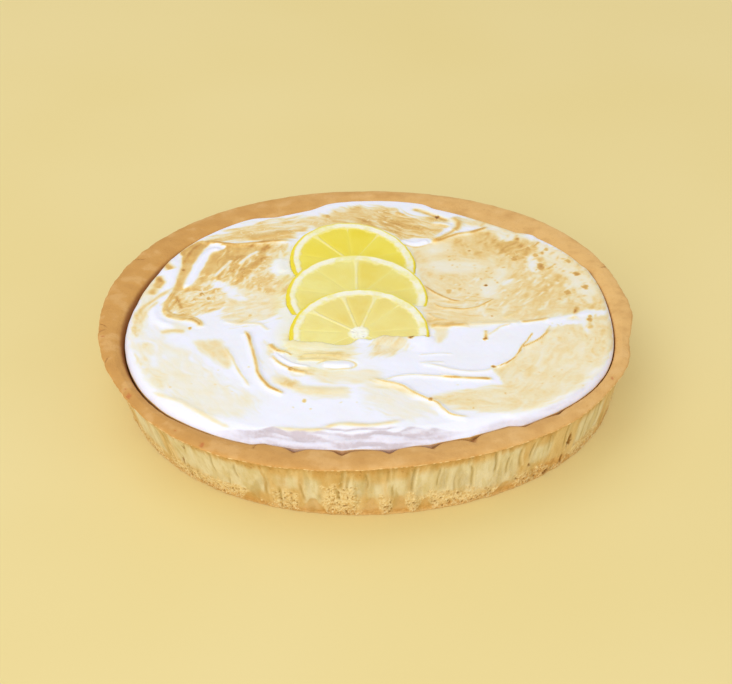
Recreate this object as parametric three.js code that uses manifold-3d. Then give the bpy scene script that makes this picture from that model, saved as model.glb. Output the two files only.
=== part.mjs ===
// A lemon meringue pie: a shortcrust case with a thumbed rim, a layer of browned meringue
// spread with a palette knife, and three lemon slices laid on it like roof tiles.
// Millimetres, +Z up. The origin is the centre of the base, on the surface that it stands on.
// Directions are in degrees from +X, anticlockwise as seen from above.
import * as THREE from "three";
import { mergeVertices } from "three/addons/utils/BufferGeometryUtils.js";
import Module from "manifold-3d";

const wasm = await Module();
wasm.setup();

const GAP = 0.3; // clearance between pieces that lie against each other

// The crust's three outlines are rounds that the baker's hands left a little uneven. Each lobe is
// [waves round the outline, height of a wave, direction of the first wave's top].
const RIM = {
  radius: 115.2,
  lobes: [[1, 0.85, 73], [2, 0.5, -171], [3, 0.6, -7], [4, 1.41, -152], [5, 0.4, 164]],
};
const BASE = { radius: 104.9, lobes: [[1, 1.6, 0], [2, 0.29, -87], [3, 0.21, -25], [4, 0.53, -120]] };
const MOUTH = {
  radius: 104.3,
  lobes: [[1, 2.73, -55], [2, 0.76, 30], [3, 2.13, -56], [4, 0.96, -171], [5, 0.35, 123], [6, 0.72, 151],
    [7, 0.56, -179]],
};

const RIM_TOP = 29.9; // crown of the rim above the table
const RIM_SHOULDER = 29.4; // outer top edge, where the rim starts to round over
const MOUTH_EDGE = 28.7; // where the rim turns down into the mouth
const LIP_BOTTOM = 28.2; // lower edge of the rim's outer face
const LIP_OVERHANG = 2.2; // how far the rim stands out over the wall
const LEAST_OVERHANG = 0.7; // what is left of it where the lip is worn
const LIP_FACE = 0.6; // height of the rim's upright outer face
const LIP_CHAMFER = 0.5; // bevel below the outer face
const RIM_ROUNDING = 1.4; // width over which each edge of the rim's top rounds over
const BACK = 95; // direction of the back
const BACK_RISE = 0.7; // how much higher the rim is there
const FILL_LEVEL = 22; // the pie is solid up to here, and the meringue lies on it
const MOUTH_TAPER = 1.6; // how much narrower the mouth is at the fill level

// Worn stretches of the lip: [direction, half width in degrees, depth], and one that stands out.
const WORN_LIP = [[209, 9, 0.5], [349, 6, 1.8], [327, 7, 1.2], [2, 6, -0.6]];

// Stretches where the mouth bulges inwards: [direction, half width, softness of its ends, depth].
const MOUTH_BULGES = [
  [275.2, 29.1, 1.6, 2.4], [236, 10, 4, 0.7], [57.5, 14.5, 2.5, 2.8], [30, 9.5, 1.2, 0.9], [109, 8, 4, 3],
];

// Marks of the baker's thumb, pressed outwards into the mouth: [direction, depth].
const THUMB_MARKS = [
  [254.5, 3.6], [264.8, 4], [275, 3.6], [284.5, 3.6], [293.5, 4.6], [306, 0.8], [314.5, 1.2], [19, 0.9],
];
const THUMB_WIDTH = 1.5; // half width of a mark in degrees
const THUMB_POINT = 1.4; // how pointed a mark is, from 1 for a cusp to 2 for a round hollow
const FILLED_SHARE = 0.35; // how far the meringue fills the marks

// On this side the meringue has shrunk and left the inner wall bare, and the rim's inner edge is broad.
const BARE_SIDE = 168;
const BARE_SHOULDER = 2; // how much broader the rounding is there
const BARE_DROP = 1.2; // how much lower the inner wall starts there

const FLUTES = 60; // shallow flutes that the tin pressed into the wall
const COLUMNS_PER_FLUTE = 3;
const COLUMNS = FLUTES * COLUMNS_PER_FLUTE;
const FLUTE_DEPTH = 0.55;
const CRUMB_DEPTH = 0.7; // pits in the crumbly lower wall
const CRUMB_TOP = 11; // height at which the pits fade out
const FOOT_INSET = 0.8; // the foot of the wall is broken back by this much
const WALL_LEVELS = [1, 4.5, 9, 14, 20]; // heights at which the wall's section has its points

// Flakes that broke off the foot of the wall: smooth scrapes, widest at the bottom.
// Each is [direction, width at the foot in degrees, height].
const FLAKES = [[243, 9, 7], [257, 7, 9], [271, 6, 9], [277, 7, 8.5], [317, 6, 17], [338, 8, 8]];
const FLAKE_DEPTH = 0.9;
const FLAKE_TAPER = 1.4; // how many times its own height a flake would need to end in a point

// Meringue
const RINGS = 30; // rings of the surface mesh: ring n has 6n points, so the outermost has COLUMNS
const MERINGUE_CROWN = 32.2;
const MERINGUE_DOME = 0.7; // how much higher the middle is than the plain near the edge
const MERINGUE_EDGE = 28.2; // level at which the meringue meets the crust
const EDGE_ROUNDING = 2.6; // the edge rises by two thirds of its height over this distance
const FRONT = 266; // direction of the front, where the meringue's side slopes
const FRONT_SLOPE = 3.4; // how much longer the rise is there
const SUNKEN_DEPTH = 0.9; // how much lower its edge is on the bare side
const BACK_EDGE_RISE = 1.4; // how much higher its edge is at the back
const DRAWN_IN = [111, 9, 1.5]; // where it has drawn in from the crust: direction, half width, distance
const SWELL = 0.35; // broad unevenness of the spread surface
const SWELL_SPANS = [17, 31, 21, 44]; // reach of its waves along each axis

// Strokes of the palette knife, as lines in plan. A rise is a ridge and a negative one a furrow,
// width is how far it reaches to each side, and a step is how much higher its left side lies.
const STROKES = [
  { rise: 1.1, width: 2.4, path: [[-76, 61], [-66, 63.5], [-56, 61.5], [-44, 63.5], [-32, 64]] },
  { rise: 0.8, width: 2.8, path: [[-52, 66], [-43, 69], [-33, 72]] },
  { rise: 1.3, width: 2.6, path: [[-62, 59], [-70, 54.5], [-74.5, 44], [-76.5, 32], [-79, 21]] },
  { rise: -0.9, width: 2, path: [[-75, 57], [-79, 43], [-81, 26]] },
  { rise: 1.1, width: 2.4, path: [[-84, 46], [-83, 20], [-85.5, 6], [-82, -2], [-76, -4.5], [-69, -8]] },
  { rise: 1.4, width: 2.4, path: [[-50.5, -13], [-47, -27], [-44.5, -40], [-41.5, -53], [-33, -64]] },
  { rise: 0.7, width: 3, path: [[-59, -25], [-53.5, -40], [-46.5, -59]] },
  { rise: 1.2, width: 2.2, path: [[-41, -25], [-36, -32], [-31, -34]] },
  { rise: 1.1, width: 2.2, path: [[-39, -34], [-33, -42], [-24, -48]] },
  { rise: 0.8, width: 3, path: [[-17, -41], [-5, -43]] },
  { rise: 0.8, width: 2.6, path: [[-37, -87], [-26, -90.5], [-11, -86.5], [1, -87.5], [15, -84.5]] },
  { rise: 1.4, width: 2.6, step: 0.7, path: [[2, -52.5], [15, -59], [24, -68.5], [31, -77], [41, -83]] },
  { rise: 0.9, width: 2.6, path: [[10, -54], [20, -51], [36, -53.5], [52, -55.5]] },
  { rise: 0.9, width: 2.4, step: 1, path: [[34, -47], [46, -49.5], [56, -45], [64, -34], [75, -19]] },
  { rise: 0.8, width: 2.6, step: 0.5, path: [[28, -13], [44, -12], [67, -11], [78, -8], [90, -2]] },
  { rise: 1.3, width: 2.4, path: [[31, 60], [39, 68], [43.5, 75], [43.5, 83]] },
  { rise: 0.9, width: 2.4, path: [[31, 60], [42, 67], [57, 74]] },
  { rise: -1.2, width: 2, path: [[23, 93], [34, 84.5], [42, 81]] },
  { rise: 0.9, width: 2.6, path: [[16, 62], [24, 57.5], [31, 61]] },
  { rise: 0.5, width: 2.8, path: [[27, 21], [34, 11.5], [42, 7]] },
  { rise: 0.5, width: 2.8, path: [[30, 6], [38, 1], [48, 2], [56, 9]] },
];
const STEP_REACH = 9; // distance over which a step fades away
const PIECES_PER_POINT = 6; // straight pieces into which each stretch of a stroke is divided

// Heaps of meringue pushed up round the slices: centre in plan, reach and height.
const HEAPS = [
  { x: -20, y: -32, reach: 12, rise: 1.1 },
  { x: 10, y: -30, reach: 12, rise: 1.2 },
  { x: -5, y: 66, reach: 20, rise: 1.2 },
];

// Lemon slices, from the front one to the back one. Each is a whole round, oval by a few percent
// towards one direction, with its membranes at the directions in which they run out from the core.
const SLICE_THICKNESS = 3.85;
const SLICE_TILT = 8; // back edge up, so that each lies on the next
const SLICE_LEVEL = 33.5; // centre of the upper face
const CORE_RADIUS = 3.7;
const PITH_WIDTH = 3;
const RIND_WIDTH = 0.8;
const PULP_DEPTH = 0.35; // the pulp has dried a little below the membranes and the pith
const MEMBRANE_DEPTH = 0.05;
const PULP_BULGE = 0.1; // how much higher the middle of a segment is than its sides
const PULP_EDGE = 1; // width of the slope from the pith down to the pulp
const PEEL_ROUNDING = 0.6; // rounding of the slice's outer edges
const COLUMNS_PER_SEGMENT = 4;
const SLICES = [
  { name: "lemon_slice_front", x: -2.2, y: -20.9, radius: 29.6, oval: 0.011, towards: 77,
    membranes: [5, 47, 73, 105, 143, 175, 211, 250, 290, 328] },
  { name: "lemon_slice_middle", x: -3, y: 9.2, radius: 30.3, oval: 0.022, towards: 145,
    membranes: [12, 50, 90, 132, 168, 205, 243, 281, 318, 345] },
  { name: "lemon_slice_back", x: -4.6, y: 39.3, radius: 28.8, oval: 0.07, towards: 119,
    membranes: [20, 60, 95, 130, 164, 202, 240, 275, 313, 347] },
];

const radians = THREE.MathUtils.degToRad;
const smooth = THREE.MathUtils.smoothstep;

function outline({ radius, lobes }, angle) {
  return lobes.reduce(
    (sum, [waves, height, top]) => sum + height * Math.cos(waves * angle - radians(top)),
    radius,
  );
}

// Degrees from a direction, from -180 to 180.
function awayFrom(angle, direction) {
  return THREE.MathUtils.euclideanModulo(THREE.MathUtils.radToDeg(angle) - direction + 180, 360) - 180;
}

// 1 towards a direction, fading to 0 a quarter of the way round.
function facing(angle, direction) {
  return Math.max(0, Math.cos(angle - radians(direction))) ** 2;
}

// 1 at a direction, fading to 0 beyond its half width.
function bump(angle, direction, width) {
  return Math.exp(-((awayFrom(angle, direction) / width) ** 2));
}

// A fixed pseudo-random number from -1 to 1 for each pair of numbers.
function scatter(a, b) {
  const s = Math.sin(a * 12.9898 + b * 78.233) * 43758.5453;
  return 2 * (s - Math.floor(s)) - 1;
}

// Radius of the crust's mouth, at the level of the rim, with the thumb marks or only a share of them.
function mouthRadius(angle, pressed = 1) {
  let radius = outline(MOUTH, angle);
  for (const [direction, width, soft, depth] of MOUTH_BULGES) {
    radius -= depth * (1 - smooth(Math.abs(awayFrom(angle, direction)), width - soft, width + soft));
  }
  for (const [direction, depth] of THUMB_MARKS) {
    const away = Math.abs(awayFrom(angle, direction)) / THUMB_WIDTH;
    radius += pressed * depth * Math.exp(-(away ** THUMB_POINT));
  }
  return radius;
}

// Radius of the slightly tapered inner wall, which the meringue lies against.
function mouthWall(angle, height, pressed = 1) {
  const taper = THREE.MathUtils.mapLinear(height, MOUTH_EDGE, FILL_LEVEL, 0, MOUTH_TAPER);
  return mouthRadius(angle, pressed) - taper;
}

// How far the wall lies inside its plain slanted face, for its flutes, crumbs and broken flakes.
function wallRelief(angle, height) {
  const crease = FLUTE_DEPTH * Math.max(0, Math.cos(FLUTES * angle));
  const column = Math.round(angle / ((2 * Math.PI) / COLUMNS));
  const crumbs = CRUMB_DEPTH * Math.max(0, scatter(column, height)) * (1 - smooth(height, 0, CRUMB_TOP));
  let flake = 0;
  for (const [direction, width, top] of FLAKES) {
    const halfWidth = (width / 2) * (1 - height / (FLAKE_TAPER * top));
    if (height < top && Math.abs(awayFrom(angle, direction)) < halfWidth) flake = FLAKE_DEPTH;
  }
  return Math.max(crease, crumbs, flake);
}

// The crust's section in one direction, from the middle of its underside, up the wall, over the rim
// and down to the fill level, as [distance from the middle, height].
function crustSection(angle) {
  const base = outline(BASE, angle);
  const whole = outline(RIM, angle);
  const worn = WORN_LIP.map(([direction, width, depth]) => depth * bump(angle, direction, width));
  const rim = whole - worn.reduce((sum, depth) => sum + depth);
  const mouth = mouthRadius(angle);
  const bare = facing(angle, BARE_SIDE);
  const wallTop = Math.min(whole - LIP_OVERHANG, rim - LEAST_OVERHANG);
  const wall = WALL_LEVELS.map((height) => {
    const plain = THREE.MathUtils.mapLinear(height, 0, LIP_BOTTOM, base, wallTop);
    return [plain - wallRelief(angle, height), height];
  });
  const rise = BACK_RISE * facing(angle, BACK);
  return [
    [0, 0],
    [base - FOOT_INSET, 0],
    ...wall,
    [wallTop, LIP_BOTTOM - LIP_CHAMFER + rise],
    [rim - LIP_CHAMFER, LIP_BOTTOM + rise],
    [rim, LIP_BOTTOM + LIP_FACE + rise],
    [rim - RIM_ROUNDING, RIM_SHOULDER + rise],
    [(rim + mouth) / 2, RIM_TOP + rise],
    [mouth + RIM_ROUNDING + BARE_SHOULDER * bare, RIM_SHOULDER + rise],
    [mouth, MOUTH_EDGE - BARE_DROP * bare + rise],
    [mouthWall(angle, FILL_LEVEL), FILL_LEVEL],
    [0, FILL_LEVEL],
  ];
}

// A lathed body whose section changes with direction: a plain lathe gives the mesh, and each of its
// points then goes to its place in the section for its own direction.
function unevenLathe(section, columns, direction = (turn) => turn) {
  const points = section(0).length;
  const plain = Array.from({ length: points }, (_, i) => {
    const onAxis = i === 0 || i === points - 1;
    return new THREE.Vector2(onAxis ? 0 : 1, i);
  });
  const lathe = new THREE.LatheGeometry(plain, columns);
  const position = lathe.getAttribute("position");
  for (let column = 0; column <= columns; column++) {
    const angle = direction(((column % columns) * 2 * Math.PI) / columns);
    section(angle).forEach(([radius, height], i) => {
      const at = column * points + i;
      position.setXYZ(at, radius * Math.cos(angle), radius * Math.sin(angle), height);
    });
  }
  return closedMesh(lathe);
}

// Only positions are kept and shared points merged, so that the faces form one closed skin.
function closedMesh(geometry) {
  geometry.deleteAttribute("normal");
  geometry.deleteAttribute("uv");
  const merged = mergeVertices(geometry, 1e-4);
  const index = merged.getIndex().array;
  const kept = [];
  for (let i = 0; i < index.length; i += 3) {
    const [a, b, c] = index.slice(i, i + 3);
    if (a !== b && b !== c && c !== a) kept.push(a, b, c);
  }
  merged.setIndex(kept);
  return merged;
}

// Strokes as short straight pieces, so that the distance from a point to each can be measured.
const strokeLines = STROKES.map(({ path, rise, width, step = 0 }) => {
  const curve = new THREE.CatmullRomCurve3(path.map(([x, y]) => new THREE.Vector3(x, y, 0)));
  const points = curve.getPoints(PIECES_PER_POINT * path.length);
  const pieces = points.slice(1).map((end, i) => new THREE.Line3(points[i], end));
  return { pieces, rise, width, step };
});

function strokeHeight(point, { pieces, rise, width, step }) {
  const nearest = new THREE.Vector3();
  let distance = Infinity;
  let side = 1;
  for (const piece of pieces) {
    piece.closestPointToPoint(point, true, nearest);
    const away = nearest.distanceTo(point);
    if (away >= distance) continue;
    distance = away;
    const along = piece.end.clone().sub(piece.start);
    const across = point.clone().sub(piece.start);
    side = Math.sign(along.x * across.y - along.y * across.x);
  }
  const ridge = rise * Math.exp(-((distance / width) ** 2));
  return ridge + 0.5 * step * Math.tanh((side * distance) / width) * Math.exp(-distance / STEP_REACH);
}

// Where the meringue meets the crust: its level, and its distance from the middle.
function meringueEdge(angle) {
  const sunken = SUNKEN_DEPTH * facing(angle, BARE_SIDE);
  const level = MERINGUE_EDGE - sunken + BACK_EDGE_RISE * facing(angle, BACK);
  const [direction, width, distance] = DRAWN_IN;
  const drawnIn = distance * bump(angle, direction, width);
  return { level, radius: mouthWall(angle, level, FILLED_SHARE) - drawnIn - GAP };
}

// Height of the meringue's surface over a point in plan.
function meringueHeight(x, y) {
  const point = new THREE.Vector3(x, y, 0);
  const radius = Math.hypot(x, y);
  const angle = Math.atan2(y, x);
  const edge = meringueEdge(angle);
  const inward = Math.max(0, edge.radius - radius);
  const plain = MERINGUE_CROWN - MERINGUE_DOME * (radius / edge.radius) ** 2;
  const spread = 1 - Math.exp(-inward / (EDGE_ROUNDING + FRONT_SLOPE * facing(angle, FRONT)));
  const [a, b, c, d] = SWELL_SPANS;
  let relief = SWELL * Math.sin(x / a + y / b) * Math.cos(y / c - x / d);
  for (const stroke of strokeLines) relief += strokeHeight(point, stroke);
  for (const heap of HEAPS) {
    relief += heap.rise * Math.exp(-(((x - heap.x) ** 2 + (y - heap.y) ** 2) / heap.reach ** 2));
  }
  return edge.level + (plain + relief - edge.level) * spread;
}

// The meringue layer before the slices are pressed in: a surface of rings of near-equal triangles,
// a side that follows the crust's mouth, and a flat underside.
function meringueLayer() {
  const positions = [0, 0, meringueHeight(0, 0)];
  const faces = [];
  const ringStart = (ring) => (ring === 0 ? 0 : 1 + 3 * ring * (ring - 1));
  for (let ring = 1; ring <= RINGS; ring++) {
    for (let i = 0; i < 6 * ring; i++) {
      const angle = (i * 2 * Math.PI) / (6 * ring);
      const radius = (ring / RINGS) * meringueEdge(angle).radius;
      const x = radius * Math.cos(angle);
      const y = radius * Math.sin(angle);
      positions.push(x, y, meringueHeight(x, y));
    }
    for (let sector = 0; sector < 6; sector++) {
      for (let i = 0; i < ring; i++) {
        const outer = ringStart(ring) + sector * ring + i;
        const outerNext = ringStart(ring) + ((sector * ring + i + 1) % (6 * ring));
        const innerCount = 6 * (ring - 1);
        const inner = ringStart(ring - 1) + (innerCount ? (sector * (ring - 1) + i) % innerCount : 0);
        faces.push(inner, outer, outerNext);
        if (i === ring - 1) continue;
        const innerNext = ringStart(ring - 1) + ((sector * (ring - 1) + i + 1) % innerCount);
        faces.push(inner, outerNext, innerNext);
      }
    }
  }
  const foot = positions.length / 3;
  const underside = FILL_LEVEL + GAP;
  for (let i = 0; i < COLUMNS; i++) {
    const angle = (i * 2 * Math.PI) / COLUMNS;
    const radius = mouthWall(angle, underside, FILLED_SHARE) - GAP;
    positions.push(radius * Math.cos(angle), radius * Math.sin(angle), underside);
  }
  const middle = foot + COLUMNS;
  positions.push(0, 0, underside);
  for (let i = 0; i < COLUMNS; i++) {
    const next = (i + 1) % COLUMNS;
    const top = ringStart(RINGS);
    faces.push(top + i, foot + i, top + next, top + next, foot + i, foot + next);
    faces.push(middle, foot + next, foot + i);
  }
  const layer = new THREE.BufferGeometry();
  layer.setAttribute("position", new THREE.Float32BufferAttribute(positions, 3));
  layer.setIndex(faces);
  return layer;
}

function sliceRadius({ radius, oval, towards }, angle) {
  return radius * (1 + oval * Math.cos(2 * (angle - radians(towards))));
}

// A slice in its own frame, with the centre of its upper face at the origin. Every fourth column of
// the mesh runs along a membrane, which stands level with the pith, and the pulp lies lower.
function sliceBody(slice) {
  const { membranes } = slice;
  const onMembrane = (angle) => membranes.some((m) => Math.abs(Math.sin((angle - radians(m)) / 2)) < 1e-6);
  const direction = (turn) => {
    const place = (turn / (2 * Math.PI)) * membranes.length;
    const segment = Math.floor(place + 1e-9);
    const start = membranes[segment];
    const end = segment + 1 < membranes.length ? membranes[segment + 1] : membranes[0] + 360;
    return radians(THREE.MathUtils.lerp(start, end, place - segment));
  };
  const section = (angle) => {
    const edge = sliceRadius(slice, angle);
    const pith = edge - RIND_WIDTH - PITH_WIDTH;
    const pulp = onMembrane(angle) ? -MEMBRANE_DEPTH : -PULP_DEPTH;
    const bulge = onMembrane(angle) ? 0 : PULP_BULGE;
    return [
      [0, -SLICE_THICKNESS],
      [edge - PEEL_ROUNDING, -SLICE_THICKNESS],
      [edge, -SLICE_THICKNESS + PEEL_ROUNDING],
      [edge, -PEEL_ROUNDING],
      [edge - RIND_WIDTH, 0],
      [pith, 0],
      [pith - PULP_EDGE, pulp],
      [(CORE_RADIUS + pith) / 2, pulp + bulge],
      [CORE_RADIUS + PULP_EDGE, pulp],
      [CORE_RADIUS, 0],
      [0, 0],
    ];
  };
  return unevenLathe(section, membranes.length * COLUMNS_PER_SEGMENT, direction);
}

// The room that a slice takes up in the meringue: its own round, larger by the gap on every side.
function sliceRoom(slice) {
  const columns = slice.membranes.length * COLUMNS_PER_SEGMENT;
  const section = (angle) => {
    const edge = sliceRadius(slice, angle) + GAP;
    return [[0, -SLICE_THICKNESS - GAP], [edge, -SLICE_THICKNESS - GAP], [edge, GAP], [0, GAP]];
  };
  return unevenLathe(section, columns);
}

function sliceMatrix({ x, y }) {
  const turn = new THREE.Matrix4().makeRotationX(radians(SLICE_TILT));
  return turn.setPosition(x, y, SLICE_LEVEL);
}

function toManifold(geometry) {
  const vertProperties = new Float32Array(geometry.getAttribute("position").array);
  const triVerts = new Uint32Array(geometry.getIndex().array);
  return new wasm.Manifold(new wasm.Mesh({ numProp: 3, vertProperties, triVerts }));
}

function fromManifold(solid) {
  const { vertProperties, triVerts } = solid.getMesh();
  const geometry = new THREE.BufferGeometry();
  geometry.setAttribute("position", new THREE.BufferAttribute(vertProperties, 3));
  geometry.setIndex(new THREE.BufferAttribute(triVerts, 1));
  return geometry;
}

// The slices are pressed into the soft meringue, so it keeps their shape. Scraps that the cut
// leaves loose are dropped.
function meringueBody() {
  let body = toManifold(meringueLayer());
  for (const slice of SLICES) {
    body = body.subtract(toManifold(sliceRoom(slice).applyMatrix4(sliceMatrix(slice))));
  }
  const [largest] = body.decompose().sort((a, b) => b.volume() - a.volume());
  return fromManifold(largest);
}

function pastry() {
  return new THREE.MeshStandardMaterial({ color: 0xd9a668, roughness: 0.8, metalness: 0 });
}

function meringue() {
  return new THREE.MeshStandardMaterial({ color: 0xf3ead6, roughness: 0.55, metalness: 0 });
}

function lemon() {
  return new THREE.MeshStandardMaterial({ color: 0xe9d766, roughness: 0.35, metalness: 0 });
}

function named(name, geometry, material) {
  const mesh = new THREE.Mesh(geometry, material);
  mesh.name = name;
  return mesh;
}

const pie = new THREE.Group();
pie.add(named("crust", unevenLathe(crustSection, COLUMNS), pastry()));
pie.add(named("meringue", meringueBody(), meringue()));
for (const slice of SLICES) {
  const mesh = named(slice.name, sliceBody(slice), lemon());
  mesh.position.set(slice.x, slice.y, SLICE_LEVEL);
  mesh.rotation.x = radians(SLICE_TILT);
  pie.add(mesh);
}

export default pie;
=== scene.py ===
import math
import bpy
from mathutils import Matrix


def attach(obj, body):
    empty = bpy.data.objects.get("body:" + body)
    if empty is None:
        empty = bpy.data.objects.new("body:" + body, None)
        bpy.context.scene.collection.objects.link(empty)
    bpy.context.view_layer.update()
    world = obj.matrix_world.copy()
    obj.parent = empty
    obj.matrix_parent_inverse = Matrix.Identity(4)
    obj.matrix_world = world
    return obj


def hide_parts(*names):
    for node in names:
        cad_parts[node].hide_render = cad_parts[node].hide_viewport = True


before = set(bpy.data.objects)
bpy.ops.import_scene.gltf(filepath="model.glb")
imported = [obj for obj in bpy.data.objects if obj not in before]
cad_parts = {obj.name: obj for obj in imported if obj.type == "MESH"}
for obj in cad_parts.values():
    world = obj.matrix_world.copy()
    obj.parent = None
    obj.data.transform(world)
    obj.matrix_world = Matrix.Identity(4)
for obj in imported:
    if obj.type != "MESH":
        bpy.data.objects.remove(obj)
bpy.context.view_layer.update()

from types import SimpleNamespace

import bpy
import numpy as np
from mathutils import Quaternion, Vector, noise

# ---- Crust ----
# The shortcrust case, baked in a fluted tin and turned out of it. Its wall is pale and crumbly, with
# creases where the flutes pressed it, and its flat rim is browned and thumbed round the mouth.
# Sizes are in millimetres and directions in degrees from +X, anticlockwise from above.
MM = 0.001
CRUST_COLUMNS = 1440
CRUST_SEED = 7
RIM_RADIUS = 115.2
BASE_RADIUS = 104.9
MOUTH_RADIUS = 104.3
LIP_OVERHANG = 2.2
LIP_BOTTOM = 28.2
RIM_TOP = 29.9
MOUTH_EDGE = 28.7
FILL_LEVEL = 22.0
MOUTH_TAPER = 1.6
LIP_RING = 63  # rings from here on belong to the lip
MOUTH_RING = 92  # and from here on to the inner wall
BARE_SIDE = 168  # the meringue has shrunk away from the inner wall on this side
DARK_SIDE = 311.5  # the foot is baked darkest here
# Uneven rounds, as waves round it, height, and direction of the top.
RIM_LOBES = [(1, 0.85, 73), (2, 0.5, -171), (3, 0.6, -7), (4, 1.41, -152), (5, 0.4, 164)]
BASE_LOBES = [(1, 1.6, 0), (2, 0.29, -87), (3, 0.21, -25), (4, 0.53, -120)]
MOUTH_LOBES = [(1, 2.73, -55), (2, 0.76, 30), (3, 2.13, -56), (4, 0.96, -171), (5, 0.35, 123)]
MOUTH_LOBES += [(6, 0.72, 151), (7, 0.56, -179)]
# Marks of the baker's thumb, as direction and depth, wider bulges of the mouth, as direction, half width,
# softness and depth, and worn places of the lip, as direction, width and depth.
THUMB_MARKS = [
    (254.5, 3.6), (264.8, 4), (275, 3.6), (284.5, 3.6), (293.5, 4.6), (306, 0.8), (314.5, 1.2), (19, 0.9),
]
MOUTH_BULGES = [
    (275.2, 29.1, 1.6, 2.4), (236, 10, 4, 0.7), (57.5, 14.5, 2.5, 2.8), (30, 9.5, 1.2, 0.9), (109, 8, 4, 3),
]
WORN_LIP = [(209, 9, 0.5), (349, 6, 1.8), (327, 7, 1.2), (2, 6, -0.6)]


def mixed(start, end, share):
    """A value between two others."""
    return start + (end - start) * share


def eased(value, low, high):
    """0 up to low and 1 from high on, with a soft passage between them. Low may be above high."""
    share = np.clip((value - low) / (high - low), 0.0, 1.0)
    return share * share * (3.0 - 2.0 * share)


def bell(value, width):
    """1 at 0, fading to both sides over a width."""
    return np.exp(-((value / width) ** 2))


def lobed(radius, lobes, turn):
    """Radius of an uneven round."""
    return radius + sum(high * np.cos(waves * turn - math.radians(top)) for waves, high, top in lobes)


def sampled(kind, x, y, z, size, tall=None):
    """Noise of one kind, with lumps of one size, or taller ones where tall is given."""
    places = np.stack(np.broadcast_arrays(x / size, y / size, z / (tall or size)), axis=-1)
    return np.array([kind(place) for place in places.reshape(-1, 3)]).reshape(places.shape[:-1])


def dough_noise(*where):
    """Smooth noise from -1 to 1."""
    return sampled(noise.noise, *where)


def crumb_noise(*where):
    """Distance to the nearest of many scattered points, 0 at a point and about 1 between them."""
    return sampled(lambda place: noise.voronoi(place)[0][0], *where)


def ring_noise(turn, radius, z, size):
    """Smooth noise round a ring."""
    return dough_noise(radius * np.cos(turn), radius * np.sin(turn), z, size)


def away_from(turn, direction):
    """Degrees from a direction, from -180 to 180."""
    return (np.degrees(turn) - direction + 180) % 360 - 180


def facing(turn, direction):
    """1 towards a direction, fading to 0 a quarter of the way round."""
    return np.maximum(0, np.cos(turn - math.radians(direction))) ** 2


def mouth_radius(turn, pressed=1.0):
    """Radius of the rim's inner edge, with the thumb marks or only a share of them."""
    radius = lobed(MOUTH_RADIUS, MOUTH_LOBES, turn)
    for at, wide, soft, deep in MOUTH_BULGES:
        radius = radius - deep * eased(np.abs(away_from(turn, at)), wide + soft, wide - soft)
    for at, deep in THUMB_MARKS:
        radius = radius + pressed * deep * np.exp(-np.abs(away_from(turn, at) / 1.5) ** 1.4)
    return radius


def mouth_wall(turn, height, pressed=1.0):
    """Radius of the tapered inner wall at a height."""
    return mouth_radius(turn, pressed) - MOUTH_TAPER * (MOUTH_EDGE - height) / (MOUTH_EDGE - FILL_LEVEL)


def ring_faces(rows, columns):
    """Faces of a closed skin of rings, whose first and last corners are its two poles."""
    first = 1 + np.arange(rows - 1)[:, None] * columns
    here = np.arange(columns)
    there = (here + 1) % columns
    quads = np.stack([first + here, first + there, first + columns + there, first + columns + here], axis=-1)
    last = 1 + (rows - 1) * columns
    bottom = [(0, int(b), int(a)) for a, b in zip(1 + here, 1 + there)]
    top = [(last + columns, int(a), int(b)) for a, b in zip(last + here, last + there)]
    return quads.reshape(-1, 4).tolist() + bottom + top


def capped(rows, bottom=0, top=0):
    """Values of the rings' corners with those of the two poles, in the order of ring_faces."""
    return np.concatenate([[bottom], rows.ravel(), [top]])


def placed(name, data):
    """A new object in the scene."""
    thing = bpy.data.objects.new(name, data)
    bpy.context.collection.objects.link(thing)
    return thing


def shaped(name, x, y, z, faces, finish, marks):
    """A smooth mesh, in millimetres, with one number at each corner for each named mark."""
    mesh = bpy.data.meshes.new(name)
    mesh.from_pydata((np.stack([x, y, z], axis=-1) * MM).tolist(), [], faces)
    mesh.shade_smooth()
    for mark, values in marks.items():
        mesh.attributes.new(mark, "FLOAT", "POINT").data.foreach_set("value", values.astype(np.float32))
    mesh.materials.append(finish)
    return placed(name, mesh)


turn = np.linspace(0, 2 * np.pi, CRUST_COLUMNS, endpoint=False)
whole_rim = lobed(RIM_RADIUS, RIM_LOBES, turn)
rim = whole_rim - sum(deep * bell(away_from(turn, at), wide) for at, wide, deep in WORN_LIP)
rim = rim + 0.35 * ring_noise(turn, 115, 0, 7) + 0.26 * ring_noise(turn, 115, 4, 2.6)
base = lobed(BASE_RADIUS, BASE_LOBES, turn)
mouth = mouth_radius(turn) + 0.15 * ring_noise(turn, 105, 9, 2.2)
wall_top = np.minimum(whole_rim - LIP_OVERHANG, rim - 0.7)
wall_foot = mixed(base, wall_top, 1.2 / LIP_BOTTOM)
bare = facing(turn, BARE_SIDE)

# The section from the underside up the wall, over the rim and down the inner wall. Each line is the
# radius, the height, and the number of rings from there to the next line.
section = [
    (base * 0.5, 0, 2),
    (base - 0.8, 0, 3),
    (base - 0.1, 0.35, 2),
    (wall_foot, 1.2, 56),
    (wall_top, 27.3, 3),
    (rim - 0.5, 27.7, 3),
    (rim + 0.2, 28.1, 2),
    (rim - 0.1, 28.4, 2),
    (rim - 0.1, 28.8, 3),
    (rim - 0.6, 29.2, 3),
    (rim - 1.7, 29.5, 9),
    ((rim + mouth) / 2, RIM_TOP, 9),
    (mouth + 1.4 + 2 * bare, 29.6, 3),
    (mouth + 0.3 + 1.4 * bare, 29.2 - 0.5 * bare, 3),
    (mouth + 0.4 * bare, MOUTH_EDGE - 1.2 * bare, 6),
    (mouth_wall(turn, 27.0, 0.15) - 0.3, 27.0 - 1.2 * bare, 4),
    (mouth_wall(turn, FILL_LEVEL, 0.15), FILL_LEVEL, 1),
]
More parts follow.
